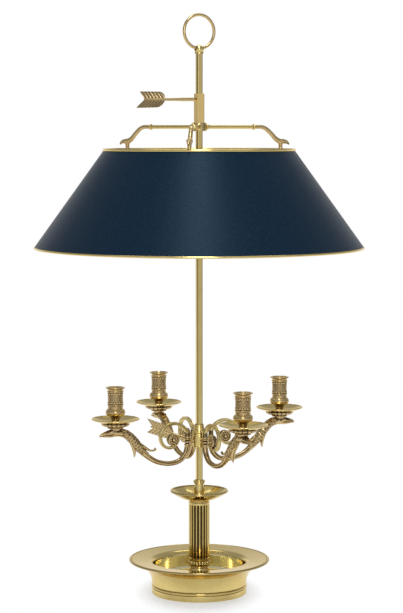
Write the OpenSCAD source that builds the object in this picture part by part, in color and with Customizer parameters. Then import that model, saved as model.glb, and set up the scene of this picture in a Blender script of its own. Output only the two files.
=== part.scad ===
// Four-light candle lamp of the bouillotte pattern, in brass with an enamelled metal shade.
// A square stem stands in a fluted column on a bowl base. The candle cluster and the
// shade carrier slide on the stem, and each is locked by an arrow-shaped thumb screw.
// Millimetres, +Z up, origin on the stem's axis at the table.

/* [Bowl base] */
// Radius of the bowl's lip
bowl_rim_r = 106; // [98:1:114]
// Height of the top of the lip above the table
bowl_rim_h = 52; // [48:1:58]
// Outer radius of the upright wall
bowl_wall_r = 71.5; // [64:0.5:76]
// Radius of the outer flare that turns the wall out under the lip
bowl_flare_r = 31; // [24:1:33]
// Radius of the shoulder where the lip's top turns down into the well
bowl_shoulder_r = 5; // [3:0.5:9]
// Fall of the lip's top towards the well, in degrees
bowl_lip_fall = 7; // [3:0.5:12]
// Height of the bowl's floor above the table
bowl_floor_h = 20.5; // [18:0.5:24]
// Thickness of the cast wall, floor and lip
bowl_t = 2.6; // [2:0.1:3.4]
// Radius of the rolled edge of the lip
bowl_edge_r = 1.6; // [1.4:0.1:2.4]
// Depth of the fillet between wall and floor
bowl_fillet_r = 5; // [3:0.5:8]
// How far the bead round the foot stands out
foot_bead_out = 0.8; // [0.4:0.1:1.6]
// Height of the middle of that bead
foot_bead_z = 11.5; // [9:0.5:12]
// Width of the ring that the foot rests on
foot_ring_w = 6; // [4:0.5:9]

/* [Column] */
// Radius of the column over its fillets
column_r = 15.6; // [14:0.2:18]
// Length of the column
column_h = 88.5; // [70:0.5:110]
// Radius of the column's hollow core
column_core_r = 9; // [6:0.5:11]
// Number of flutes
flute_count = 20; // [12:1:24]
// Width of one flute
flute_w = 2.9; // [2:0.1:3.4]
// Plain length left at each end of the column
flute_margin = 3.2; // [2:0.2:6]
// Radius of the column foot where it stands on the bowl's floor
column_foot_r = 21; // [18:0.5:25]
// Height of the column foot
column_foot_h = 23; // [18:0.5:28]
// Radius of the foot's waist
foot_waist_r = 12.6; // [11:0.2:14.5]
// Outer radius of the ring under the column
base_ring_r = 17.6; // [16.8:0.2:20]
// Height of the ring under the column
base_ring_h = 6; // [4:0.5:9]
// Radius of the cap over the column
cap_r = 15.6; // [15:0.2:19]
// Height of the cap
cap_h = 3.5; // [2.5:0.5:6]

/* [Drip pan] */
// Radius of the pan on top of the column
drip_pan_r = 43.8; // [36:0.5:50]
// Depth of the pan from rim to underside
drip_pan_h = 14; // [11:0.5:18]
// Radius of the flat that the pan sits on
drip_pan_seat_r = 14.6; // [12:0.2:16]
// Thickness of the pan
drip_pan_t = 2.4; // [1.8:0.1:3.2]
// Radius of the pan's rolled rim
drip_pan_edge_r = 1.7; // [1.2:0.1:2.4]

/* [Stem] */
// Width of the square stem across flats
stem_w = 8.2; // [7:0.1:9.4]
// Height of the stem's top above the table
stem_top_h = 813; // [760:1:860]
// Height of the turned collar that holds the stem's foot
collar_h = 26; // [22:0.5:32]
// Radius of the collar's ring
collar_ring_r = 9; // [8.4:0.1:11]
// Radius of the collar's neck
collar_neck_r = 6.9; // [6.8:0.1:8]
// Radius of the collar where it meets the pan
collar_foot_r = 10.5; // [9:0.5:13]
// Radius of the threaded rod that draws the stand together
rod_r = 3; // [2.5:0.1:3.4]
// How far the rod screws up into the stem
rod_grip = 14; // [10:1:25]
// Width of the nut across flats
nut_w = 11; // [10:0.5:14]
// Thickness of the nut
nut_h = 5; // [4:0.5:6]
// Radius of the washer
washer_r = 16; // [12:1:24]
// Thickness of the washer
washer_t = 2; // [1:0.5:3]

/* [Carry ring] */
// Radius of the ring to the middle of its wire
ring_r = 24.8; // [20:0.2:32]
// Radius of the ring's wire
ring_wire_r = 2.5; // [2:0.1:3]
// Radius of the eye that holds the ring
eye_r = 7; // [6.4:0.1:8]
// Height of the eye
eye_h = 13; // [12.5:0.1:18]
// Depth of the eye's socket over the stem's end
eye_socket = 3; // [2:0.2:4]

/* [Shade] */
// Outer radius over the bead at the shade's top edge
shade_top_r = 144; // [130:0.5:160]
// Outer radius over the bead at the shade's bottom edge
shade_bottom_r = 247; // [220:0.5:270]
// Height of the shade from bead middle to bead middle
shade_h = 145; // [120:0.5:170]
// Thickness of the sheet metal
shade_t = 0.8; // [0.6:0.1:1.4]
// Radius of the top bead's wire
top_bead_r = 2.1; // [1.8:0.1:2.8]
// Radius of the bottom bead's wire
bottom_bead_r = 1.6; // [1.5:0.1:2.4]
// Height of the bottom bead's middle above the table, with the carrier as shown
shade_bottom_h = 523; // [480:1:560]

/* [Shade carrier] */
// Width of the square sleeve across flats
sleeve_w = 11.8; // [11.2:0.1:14]
// Length of the sleeve
sleeve_h = 55.5; // [48:0.5:70]
// Radius of the hub at the sleeve's lower end
spider_hub_r = 11; // [10.2:0.2:15]
// Height of that hub
spider_hub_h = 12.5; // [11:0.5:16]
// Height of the spider rods over the shade's top bead
spider_rise = 34; // [26:0.5:38]
// Number of spider rods
spider_count = 3; // [3:1:3]
// Turn of the first spider rod about the stem, in degrees
spider_turn = -3; // [-10:1:10]
// Radius of a spider rod
spider_rod_r = 2.5; // [2:0.1:3]
// Distance from the axis to the knuckle at the rod's end
knuckle_at = 91; // [84:0.5:98]
// Distance from the axis to the clamp post
post_at = 135; // [131:0.5:136.5]
// Radius of the clamp post
post_r = 3.4; // [3.2:0.1:4]
// Radius of the clamp screw's shank
clamp_shank_r = 1.5; // [1.2:0.1:1.8]
// Radius of the clamp screw's head
clamp_head_r = 3.2; // [2.6:0.1:3.8]
// How far the birds' beaks reach past the post
spider_beak = 14.5; // [10:0.5:18]

/* [Candle cluster] */
// Number of candle arms
arm_count = 4; // [2:1:4]
// Distance from the stem's axis to a candle's axis
arm_reach = 138.5; // [125:0.5:155]
// Height of the middle of the hub above the table, with the cluster as shown
hub_mid_h = 232.5; // [229:0.5:262]
// Radius of the hub
hub_r = 10.4; // [9.8:0.2:12]
// Height of the hub's straight part
hub_h = 20.5; // [18:0.5:26]
// Height of the collar and cone on top of the hub
hub_cone_h = 14; // [11:0.5:18]
// Distance from the stem's axis to the root of an arm
root_at = 20; // [18.5:0.5:23]
// Radius of the root's rings
root_r = 5; // [4.4:0.1:5.6]
// Height of the root with its rings
root_h = 12; // [10:0.5:16]
// Radius of the tenon that fixes an arm in the hub
tenon_r = 2.4; // [2:0.1:2.8]
// Distance from the axis to the lowest point of an arm
bend_at = 52; // [46:0.5:60]
// Depth of that lowest point below the hub's middle
bend_drop = 32; // [27:0.5:35]
// Radius of the reeded tube
tube_r = 3.7; // [3.2:0.1:4.2]
// Radius of the scaled neck at its thickest
neck_r = 7; // [6:0.1:8]
// Height of the cup's seat above the hub's middle
seat_rise = 27; // [25:0.5:34]
// How far the beak reaches past the candle's axis
beak_reach = 25.5; // [20:0.5:30]
// Radius of the scroll from its centre to the outer turn
scroll_r = 24.3; // [21:0.3:26]
// Distance from the stem's axis to the scroll's centre
scroll_at = 43.5; // [42:0.5:46]
// Height of the scroll's centre above the hub's middle
scroll_rise = 3; // [1.5:0.5:5]
// Thickness of the scroll's band
scroll_t = 5; // [3.6:0.2:5.6]
// Radius of the rosette
rosette_r = 9.2; // [8:0.2:9.8]
// Thickness of the rosette
rosette_t = 8; // [6:0.5:10]

/* [Candle cups] */
// Radius of the candle socket
socket_r = 10; // [9:0.1:12]
// Depth of the candle socket
socket_h = 25; // [20:0.5:27]
// Thickness of the socket's wall
socket_t = 1.2; // [1:0.1:2]
// Height of the cup
cup_h = 52; // [47:0.5:57]
// How far the lip stands out past the socket's wall
lip_out = 3.2; // [2:0.1:4]
// How far the bulb stands out past the socket's wall
bulb_out = 3.4; // [2:0.1:4.4]
// Radius of the cup's stalk
stalk_r = 6.2; // [5:0.1:7]
// Radius of the candle pan
pan_r = 35.6; // [28:0.5:40]
// Height of the candle pan
pan_h = 7.5; // [6:0.5:10]
// Thickness of the candle pan
pan_t = 1.6; // [1.2:0.1:2.4]
// Radius of the gadrooned cup under the pan
under_r = 21; // [17:0.5:25]
// Height of the gadrooned cup
under_h = 7.5; // [6:0.5:10]
// Radius of the ring under it
under_ring_r = 12; // [10:0.5:14]

/* [Arrow screws] */
// Radius of an arrow's shaft at the feathers
arrow_shaft_r = 2.1; // [1.8:0.1:2.6]
// Radius of an arrow's screw
arrow_screw_r = 2.7; // [2.4:0.1:3]
// Distance from the stem's axis to the tips of the upper arrow's feathers
carrier_arrow_reach = 96.5; // [85:0.5:110]
// Distance from the stem's axis to the tips of the lower arrow's feathers
cluster_arrow_reach = 86; // [80:0.5:92]
// Length of the feathers
feather_l = 43; // [36:0.5:48]
// Width of the feathers across both vanes
feather_w = 29; // [22:0.5:32]
// Depth of the notch in the tail
feather_notch = 11; // [7:0.5:14]
// Thickness of the vanes
feather_t = 1.8; // [1.4:0.1:2.6]
// Height of the upper arrow below the sleeve's top
carrier_arrow_drop = 8.5; // [6:0.5:14]
// Slope of the lower arrow, in degrees
cluster_arrow_slope = 15; // [10:1:20]
// Roll of the upper arrow's vanes about its shaft, in degrees
carrier_arrow_roll = 31; // [-45:1:45]
// Roll of the lower arrow's vanes about its shaft, in degrees
cluster_arrow_roll = -33; // [-45:1:45]

/* [Fits] */
// Clearance on each side of the stem in the sleeve and the hub
slide_gap = 0.15; // [0.1:0.01:0.3]
// Radial clearance of the two arrow screws
screw_gap = 0.06; // [0.03:0.01:0.1]
// Clearance of fixed pieces that fit into each other
seat_gap = 0.05; // [0.02:0.01:0.1]
// Clearance of the carry ring in its eye
ring_gap = 0.2; // [0.1:0.02:0.4]

/* [Hidden] */
ARMS = [for (i = [1 : arm_count]) i];
SPIDERS = [for (i = [1 : spider_count]) i];
function numbered(word, list) = [for (i = list) str(word, "_", i)];

$fn = 96;
brass = [0.79, 0.66, 0.37];
old_brass = [0.62, 0.49, 0.30];
steel = [0.55, 0.56, 0.58];
enamel = [0.06, 0.16, 0.24];

// Heights of the stack on the stand
rod_bore_r = rod_r + seat_gap;
foot_z = bowl_floor_h;
base_ring_z = foot_z + column_foot_h;
column_z = base_ring_z + base_ring_h;
cap_z = column_z + column_h;
drip_pan_z = cap_z + cap_h;
collar_z = drip_pan_z + drip_pan_t + 2;
collar_bore = collar_h - 8;
stem_z = collar_z + collar_h - collar_bore;
nut_z = bowl_floor_h - bowl_t - washer_t - nut_h;
stem_bore_w = stem_w + 2 * slide_gap;
stem_corner = stem_w / sqrt(2);

// The bowl's lip: outside, the flare turns to this angle and runs straight to the edge
flare_turn = 70;
lip_edge_x = bowl_rim_r - bowl_edge_r;
lip_edge_z = bowl_rim_h - bowl_edge_r;
flare_x = bowl_wall_r + bowl_flare_r;
lip_run = lip_edge_x - flare_x + bowl_flare_r * cos(flare_turn);
flare_z = lip_edge_z - bowl_t / 2 - bowl_flare_r * sin(flare_turn) - lip_run / tan(flare_turn);
// The flare is cut off level above the foot's bead
flare_start = asin(max(0, (foot_bead_z + 3 - flare_z) / bowl_flare_r));
// Inside, the lip's top falls to the shoulder over the upright well
well_r = bowl_wall_r - bowl_t;
shoulder_x = well_r + bowl_shoulder_r;
shoulder_z = lip_edge_z + bowl_t / 2 - (lip_edge_x - shoulder_x) * tan(bowl_lip_fall)
    - bowl_shoulder_r / cos(bowl_lip_fall);

// The eye and its ring
eye_z = stem_top_h - eye_socket;
ring_sag = ring_r - sqrt(ring_r * ring_r - eye_r * eye_r);
eye_hole_r = ring_wire_r + ring_sag + ring_gap;
ring_z = eye_z + eye_h - 1.6 - eye_hole_r;

// The shade and its carrier
shade_top_z = shade_bottom_h + shade_h;
shade_top_mid = shade_top_r - top_bead_r;
shade_bottom_mid = shade_bottom_r - bottom_bead_r;
shade_lean = (shade_bottom_mid - shade_top_mid) / shade_h;
spider_z = shade_top_z + spider_rise;
// Half the sheet's thickness, measured level, and the middle of the sheet at a height
shade_half = shade_t / 2 / cos(atan(shade_lean));
function wall_mid(z) = shade_top_mid + shade_lean * (shade_top_z - z);
sleeve_z = spider_z - spider_hub_h / 2;
carrier_arrow_z = sleeve_z + sleeve_h - carrier_arrow_drop;
lug_z = shade_top_z - 7.5;
lug_t = 1.6;
post_z = lug_z + lug_t;
bird_z = shade_top_z + 12;

// The candle cluster
hub_z = hub_mid_h - hub_h / 2;
hub_bore_r = stem_bore_w / sqrt(2);
seat_z = hub_mid_h + seat_rise;
bend_z = hub_mid_h - bend_drop;
leaf_z = (bend_z + seat_z) / 2;
root_z = hub_mid_h - root_h / 2 - 1;
scroll_z = hub_mid_h + scroll_rise;
cup_z = seat_z + under_h + pan_t;

// ---- Curves and sweeps ----

function mix(a, b, t) = a + (b - a) * t;
function ease(t) = t * t * (3 - 2 * t);

// Points of an arc about (x, z), from angle a to angle b
function arc(x, z, r, a, b, steps = 8) =
    [for (i = [0 : steps]) let (t = mix(a, b, i / steps)) [x + r * cos(t), z + r * sin(t)]];

// A smooth curve through points of any dimension
function spline_at(p, q, r, s, t) =
    0.5 * (2 * q + (r - p) * t + (2 * p - 5 * q + 4 * r - s) * t * t
        + (3 * q - p - 3 * r + s) * t * t * t);
function spline(points, steps) =
    let (last = len(points) - 1)
    [for (i = [0 : last - 1]) for (k = [0 : steps - 1])
        spline_at(points[max(i - 1, 0)], points[i], points[i + 1], points[min(i + 2, last)],
            k / steps),
     points[last]];

// Sweeps an oval along stations [x, z, half thickness in the plane, half width across it]
function heading(path, i) =
    let (a = path[max(i - 1, 0)], b = path[min(i + 1, len(path) - 1)])
    atan2(b[1] - a[1], b[0] - a[0]);
module sweep(path, sides = 12) {
    rings = len(path);
    points = [for (i = [0 : rings - 1]) let (h = heading(path, i)) for (k = [0 : sides - 1])
        let (p = path[i], a = (k + 0.5) * 360 / sides)
        [p[0] - sin(h) * p[2] * cos(a), p[3] * sin(a), p[1] + cos(h) * p[2] * cos(a)]];
    sides_faces = [for (i = [0 : rings - 2]) for (k = [0 : sides - 1])
        let (n = (k + 1) % sides)
        [i * sides + k, i * sides + n, (i + 1) * sides + n, (i + 1) * sides + k]];
    near_end = [for (k = [sides - 1 : -1 : 0]) k];
    far_end = [for (k = [0 : sides - 1]) (rings - 1) * sides + k];
    polyhedron(points, concat(sides_faces, [near_end, far_end]), convexity = 6);
}

module around(count, turn = 0) {
    for (i = [0 : count - 1]) rotate(turn + i * 360 / count) children();
}
module at_arm(i) { rotate((i - 1) * 90) children(); }
module at_spider(i) { rotate(spider_turn + (i - 1) * 360 / spider_count) children(); }
module revolve(points) { rotate_extrude() polygon(points); }
module square_bar(width, z, height) {
    translate([-width / 2, -width / 2, z]) cube([width, width, height]);
}
module tube(outer, inner, z, height) {
    translate([0, 0, z]) difference() {
        cylinder(r = outer, h = height);
        translate([0, 0, -1]) cylinder(r = inner, h = height + 2);
    }
}

// A dish's curve from its seat out to its rim, counted from the seat's height
dish_power = 1.75;
function dish(r0, r1, h, steps = 10) =
    [for (i = [0 : steps]) let (u = i / steps) [mix(r0, r1, u), h * pow(u, dish_power)]];

// ---- Stand ----

module base_bowl() {
    skirt_r = bowl_wall_r - foot_ring_w;
    groove = 0.5;
    color(brass) rotate_extrude() {
        polygon(concat(
            [[skirt_r, 0], [bowl_wall_r - 0.6, 0], [bowl_wall_r, 0.6], [bowl_wall_r, 8.4],
             [bowl_wall_r - groove, 9]],
            arc(bowl_wall_r - 1.2, foot_bead_z, foot_bead_out + 1.2, -50, 50, 6),
            [[bowl_wall_r - groove, foot_bead_z + 2.4]],
            arc(flare_x, flare_z, bowl_flare_r, 180 - flare_start, 180 - flare_turn, 12),
            [[lip_edge_x, lip_edge_z - bowl_t / 2], [lip_edge_x, lip_edge_z + bowl_t / 2]],
            arc(shoulder_x, shoulder_z, bowl_shoulder_r, 90 + bowl_lip_fall, 180, 8),
            arc(well_r - bowl_fillet_r, bowl_floor_h + bowl_fillet_r, bowl_fillet_r, 0, -90, 6),
            [[rod_bore_r, bowl_floor_h], [rod_bore_r, bowl_floor_h - bowl_t],
             [well_r - 2, bowl_floor_h - bowl_t], [well_r - 2, foot_bead_z - 3]]));
        translate([lip_edge_x, lip_edge_z]) circle(r = bowl_edge_r);
    }
}

module base_washer() {
    color(steel) tube(washer_r, rod_bore_r, bowl_floor_h - bowl_t - washer_t, washer_t);
}

module base_nut() {
    color(steel) translate([0, 0, nut_z]) difference() {
        cylinder(d = nut_w / cos(30), h = nut_h, $fn = 6);
        translate([0, 0, -1]) cylinder(r = rod_bore_r, h = nut_h + 2);
    }
}

module tie_rod() {
    rod_z = nut_z - 2;
    color(steel) translate([0, 0, rod_z]) cylinder(r = rod_r, h = stem_z + rod_grip - rod_z);
}

module column_foot() {
    top_r = base_ring_r - 2.4;
    color(brass) revolve(concat(
        [[rod_bore_r, foot_z], [column_foot_r, foot_z], [column_foot_r, foot_z + 2.2]],
        arc(column_foot_r - 1.4, foot_z + 3.6, 1.4, 0, 90, 5),
        [for (i = [0 : 8]) let (u = i / 8)
            [mix(column_foot_r - 3.2, foot_waist_r, ease(u)), mix(foot_z + 5.4, base_ring_z - 4.4, u)]],
        [[top_r, base_ring_z - 1.6], [top_r, base_ring_z], [rod_bore_r, base_ring_z]]));
}

module base_ring() {
    bead_r = base_ring_h / 2;
    color(brass) rotate_extrude() {
        translate([base_ring_r - bead_r, base_ring_z + bead_r]) circle(r = bead_r);
        translate([rod_bore_r, base_ring_z]) square([base_ring_r - bead_r - rod_bore_r, base_ring_h]);
    }
}

module column() {
    flute_r = flute_w / 2;
    flute_x = column_r - 0.15;
    color(brass) difference() {
        tube(column_r, column_core_r, column_z, column_h);
        around(flute_count, 3) translate([flute_x, 0, column_z + flute_margin + flute_r]) {
            cylinder(r = flute_r, h = column_h - 2 * (flute_margin + flute_r), $fn = 24);
            sphere(r = flute_r, $fn = 24);
            translate([0, 0, column_h - 2 * (flute_margin + flute_r)]) sphere(r = flute_r, $fn = 24);
        }
    }
}

module column_cap() {
    color(brass) revolve([
        [rod_bore_r, cap_z], [cap_r - 1.6, cap_z], [cap_r, cap_z + 0.9], [cap_r, cap_z + 1.7],
        [cap_r - 2, cap_z + 2.4], [cap_r - 2, drip_pan_z], [rod_bore_r, drip_pan_z]]);
}

module drip_pan() {
    under = dish(drip_pan_seat_r, drip_pan_r - drip_pan_edge_r, drip_pan_h - drip_pan_edge_r);
    color(brass) translate([0, 0, drip_pan_z]) rotate_extrude() {
        polygon(concat(
            [[rod_bore_r, 0]], under,
            [for (i = [len(under) - 1 : -1 : 1]) [under[i][0] - 0.4, under[i][1] + drip_pan_t]],
            [[drip_pan_seat_r - 2, drip_pan_t], [collar_foot_r + 0.6, drip_pan_t],
             [collar_foot_r + 0.6, collar_z - drip_pan_z], [rod_bore_r, collar_z - drip_pan_z]]));
        translate([drip_pan_r - drip_pan_edge_r, drip_pan_h - drip_pan_edge_r + drip_pan_t / 2])
            circle(r = drip_pan_edge_r);
    }
}

module stem_collar() {
    ring_half = 2.1;
    ring_mid = collar_z + collar_h - 2.6;
    neck_z = ring_mid - ring_half - 1.4;
    color(brass) difference() {
        rotate_extrude() {
            polygon(concat(
                [[0, collar_z], [collar_foot_r, collar_z], [collar_foot_r, collar_z + 1.2]],
                [for (i = [0 : 10]) let (u = i / 10)
                    [mix(collar_foot_r - 0.8, collar_neck_r, pow(u, 0.45)), mix(collar_z + 2, neck_z, u)]],
                [[collar_neck_r + 1, ring_mid], [collar_neck_r + 0.4, collar_z + collar_h],
                 [0, collar_z + collar_h]]));
            translate([collar_ring_r - ring_half, ring_mid]) circle(r = ring_half);
        }
        square_bar(stem_w + 2 * seat_gap, stem_z, collar_bore + 1);
        translate([0, 0, collar_z - 1]) cylinder(r = rod_bore_r, h = collar_h);
    }
}

module stem() {
    color(brass) difference() {
        square_bar(stem_w, stem_z, stem_top_h - stem_z);
        translate([0, 0, stem_z - 1]) cylinder(r = rod_bore_r, h = rod_grip + 2);
    }
}

module ring_eye() {
    foot_w = stem_corner + seat_gap + 0.8;
    color(brass) difference() {
        revolve(concat(
            [[0, eye_z], [foot_w, eye_z], [foot_w, eye_z + 1.4], [eye_r - 0.6, eye_z + 2.4]],
            arc(0, eye_z + eye_h - eye_r, eye_r, 0, 90, 10)));
        square_bar(stem_w + 2 * seat_gap, eye_z - 1, eye_socket + 1 + seat_gap);
        translate([0, 0, ring_z]) rotate([0, 90, 0])
            cylinder(r = eye_hole_r, h = 4 * eye_r, center = true);
    }
}

module carry_ring() {
    color(brass) translate([0, 0, ring_z + ring_r]) rotate([90, 0, 0])
        rotate_extrude() translate([ring_r, 0]) circle(r = ring_wire_r);
}

// ---- Candle cluster ----

tenon_depth = 3;
module tenon_hole(at_r, r) {
    translate([at_r - tenon_depth, 0, 0]) rotate([0, 90, 0])
        cylinder(r = r + seat_gap, h = tenon_depth + 5);
}

module hub() {
    collar_top = hub_z + hub_h + 4;
    cone_top_r = hub_bore_r + 0.8;
    color(brass) difference() {
        revolve(concat(
            [[0, hub_z], [hub_r - 0.6, hub_z], [hub_r, hub_z + 0.6], [hub_r, hub_z + hub_h],
             [hub_r - 1, hub_z + hub_h + 0.6]],
            arc(hub_r - 1, hub_z + hub_h + 2.1, 1.3, -70, 70, 5),
            [[hub_r - 1.6, collar_top], [cone_top_r, hub_z + hub_h + hub_cone_h],
             [0, hub_z + hub_h + hub_cone_h]]));
        square_bar(stem_bore_w, hub_z - 1, hub_h + hub_cone_h + 2);
        for (i = ARMS) at_arm(i) translate([0, 0, hub_mid_h]) tenon_hole(hub_r, tenon_r);
        cluster_arrow_place() rotate([0, 90, 0])
            cylinder(r = arrow_screw_r + screw_gap, h = 3 * hub_r);
    }
}

// Stations of an arm: reeded tube, scaled neck, head and hooked beak
function arm_stations() =
    let (tube = [tube_r, tube_r], rise = seat_z - bend_z, run = arm_reach - bend_at,
         head_z = seat_z - 6.4)
    [concat([root_at, root_z + 2], tube * 1.2), concat([root_at, root_z - 4], tube * 1.2),
     concat([mix(root_at, bend_at, 0.13), mix(root_z, bend_z, 0.56)], tube * 1.14),
     concat([mix(root_at, bend_at, 0.45), mix(root_z, bend_z, 0.9)], tube * 1.05),
     concat([bend_at, bend_z], tube),
     concat([bend_at + 0.23 * run, bend_z + 0.08 * rise], tube * 1.05),
     concat([bend_at + 0.41 * run, bend_z + 0.245 * rise], tube * 1.18),
     [bend_at + 0.52 * run, bend_z + 0.405 * rise, neck_r * 0.86, neck_r * 0.84],
     [bend_at + 0.6 * run, bend_z + 0.54 * rise, neck_r, neck_r],
     [bend_at + 0.7 * run, bend_z + 0.71 * rise, neck_r * 0.98, neck_r * 0.94],
     [bend_at + 0.81 * run, bend_z + 0.84 * rise, neck_r * 0.9, neck_r * 0.86],
     [bend_at + 0.92 * run, mix(bend_z, head_z, 0.985), neck_r * 0.8, neck_r * 0.86],
     [arm_reach + 0.08 * beak_reach, head_z + 0.4, neck_r * 0.74, neck_r * 0.9],
     [arm_reach + 0.36 * beak_reach, head_z - 0.1, neck_r * 0.69, neck_r * 0.72],
     [arm_reach + 0.66 * beak_reach, head_z - 1.2, neck_r * 0.5, neck_r * 0.42],
     [arm_reach + 0.9 * beak_reach, head_z - 2.5, neck_r * 0.31, neck_r * 0.26],
     [arm_reach + beak_reach, head_z - 4.4, neck_r * 0.12, neck_r * 0.11]];

// The stud under a candle cup holds pan and under-cup down on the arm's seat
stud_r = 2.2;
stud_depth = 5;

// The curled leaf above the tube and the pointed one below the neck
function curl_stations() =
    [[mix(bend_at, arm_reach, 0.5), leaf_z + 0.8, 1.6, 3.6],
     [mix(bend_at, arm_reach, 0.42), leaf_z - 4.6, 1.5, 3.4],
     [mix(bend_at, arm_reach, 0.34), leaf_z - 8.2, 1.2, 2.6],
     [mix(bend_at, arm_reach, 0.28), leaf_z - 8.6, 1.1, 2.2],
     [mix(bend_at, arm_reach, 0.25), leaf_z - 6.6, 1.4, 1.8],
     [mix(bend_at, arm_reach, 0.262), leaf_z - 5.2, 0.6, 0.8]];
function spike_stations() =
    [[mix(bend_at, arm_reach, 0.6), leaf_z - 2, 2.4, 3.4],
     [mix(bend_at, arm_reach, 0.64), leaf_z - 7, 2.2, 2.8],
     [mix(bend_at, arm_reach, 0.665), leaf_z - 12, 1.4, 1.6],
     [mix(bend_at, arm_reach, 0.67), leaf_z - 16, 0.3, 0.4]];

module arm(i) {
    ring_step = root_h / 5;
    color(old_brass) at_arm(i) difference() {
        union() {
            sweep(spline(arm_stations(), 3));
            sweep(spline(curl_stations(), 2), 8);
            sweep(spline(spike_stations(), 2), 8);
            translate([root_at, 0, root_z]) {
                cylinder(r = root_r - 0.7, h = root_h);
                for (k = [0, 2, 4]) translate([0, 0, k * ring_step])
                    cylinder(r = root_r, h = ring_step);
            }
            translate([hub_r - tenon_depth, 0, hub_mid_h]) rotate([0, 90, 0])
                cylinder(r = tenon_r, h = root_at - hub_r + tenon_depth);
            translate([hub_r, 0, hub_mid_h]) rotate([0, 90, 0])
                cylinder(r = root_r - 1, h = root_at - hub_r);
            translate([arm_reach, 0, seat_z - 7]) cylinder(r = neck_r + 0.6, h = 7);
        }
        translate([arm_reach, 0, seat_z - stud_depth - 1])
            cylinder(r = stud_r + seat_gap, h = stud_depth + 2);
    }
}

// The scroll winds in from the root's top to the rosette
scroll_start = 159;
scroll_end = -150;
function scroll_reach(a) =
    a > 60 ? mix(scroll_r + 0.9, scroll_r, (scroll_start - a) / (scroll_start - 60))
           : mix(scroll_r, rosette_r * 0.7, ease((60 - a) / (60 - scroll_end)));
function scroll_stations(steps = 34) =
    [for (i = [0 : steps]) let (a = mix(scroll_start, scroll_end, i / steps), r = scroll_reach(a),
            half = scroll_t / 2 * mix(1.08, 0.8, i / steps))
        [scroll_at + r * cos(a), scroll_z + r * sin(a), half, half * 1.12]];

module scroll(i) {
    root_top = root_z + root_h;
    foot_x = scroll_at + scroll_reach(scroll_start) * cos(scroll_start);
    foot_z = scroll_z + scroll_reach(scroll_start) * sin(scroll_start);
    color(old_brass) at_arm(i) difference() {
        union() {
            sweep(scroll_stations(), 8);
            translate([foot_x, 0, root_top]) cylinder(r = root_r - 0.6, h = foot_z - root_top + 1.5);
        }
        translate([scroll_at, 0, scroll_z]) rotate([90, 0, 0])
            cylinder(r = rosette_r + seat_gap - 1, h = 4 * rosette_t, center = true);
    }
}

module rosette(i) {
    petal_count = 6;
    color(old_brass) at_arm(i) translate([scroll_at, 0, scroll_z]) rotate([90, 0, 0]) {
        cylinder(r = rosette_r - 1, h = rosette_t * 0.6, center = true);
        for (side = [-1, 1]) translate([0, 0, side * rosette_t * 0.3]) {
            around(petal_count) translate([rosette_r * 0.58, 0, 0])
                sphere(r = rosette_r * 0.3, $fn = 24);
            sphere(r = rosette_r * 0.26, $fn = 24);
        }
    }
}

module under_cup(i) {
    ring_h = 2;
    color(old_brass) at_arm(i) translate([arm_reach, 0, seat_z]) rotate_extrude()
        polygon(concat(
            [[stud_r + seat_gap, 0], [under_ring_r - 0.5, 0], [under_ring_r, 0.6],
             [under_ring_r, ring_h - 0.4], [under_ring_r - 1.4, ring_h]],
            [for (k = [0 : 6]) let (a = 15 * k)
                [mix(under_ring_r - 0.6, under_r, sin(a)), mix(ring_h + 0.6, under_h - 0.8, 1 - cos(a))]],
            [[under_r, under_h - 0.2], [stud_r + seat_gap, under_h - 0.2]]));
}

module candle_pan(i) {
    edge_r = pan_t * 0.6;
    seat_r = under_r * 0.6;
    rim = pan_h - edge_r - pan_t / 2;
    under = dish(seat_r, pan_r - edge_r, rim, 8);
    color(brass) at_arm(i) translate([arm_reach, 0, seat_z + under_h]) rotate_extrude() {
        polygon(concat(
            [[stud_r + seat_gap, -0.2]], [[seat_r, -0.2]], under,
            [for (k = [len(under) - 1 : -1 : 0]) [under[k][0] - 0.2, under[k][1] + pan_t]],
            [[stud_r + seat_gap, pan_t]]));
        translate([pan_r - edge_r, rim + pan_t / 2]) circle(r = edge_r);
    }
}

module candle_cup(i) {
    body_r = socket_r + socket_t;
    bulb_z = 15;
    bulb_h = 5.5;
    ring_z1 = cup_h - socket_h - 1;
    ring_z2 = cup_h - 6.2;
    color(old_brass) at_arm(i) translate([arm_reach, 0, cup_z]) {
        rotate_extrude() polygon(concat(
            [[0, 0], [stalk_r + 1, 0], [stalk_r + 1, 1], [stalk_r, 1.8], [stalk_r, bulb_z - 9],
             [stalk_r + 1, bulb_z - 7.4], [stalk_r + 1.6, bulb_z - 6]],
            arc(body_r - 2, bulb_z, bulb_out + 2, -75, 68, 9),
            [[body_r - 0.3, ring_z1 - 2.2], [body_r, ring_z1 - 1.2]],
            arc(body_r, ring_z1, 0.9, -80, 80, 4),
            [[body_r, ring_z1 + 1.2], [body_r, ring_z2 - 1.2]],
            arc(body_r, ring_z2, 1, -80, 80, 4),
            [[body_r, ring_z2 + 1.2]],
            [for (k = [1 : 6]) let (u = k / 6)
                [body_r + lip_out * u * u, mix(ring_z2 + 1.6, cup_h - 0.9, u)]],
            [[body_r + lip_out - 0.3, cup_h], [socket_r + 1.6, cup_h], [socket_r, cup_h - 2.4],
             [socket_r, cup_h - socket_h], [0, cup_h - socket_h]]));
        stud_l = cup_z - seat_z + stud_depth;
        translate([0, 0, -stud_l]) cylinder(r = stud_r, h = stud_l + 1);
    }
}

// ---- Arrow screws ----

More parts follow.
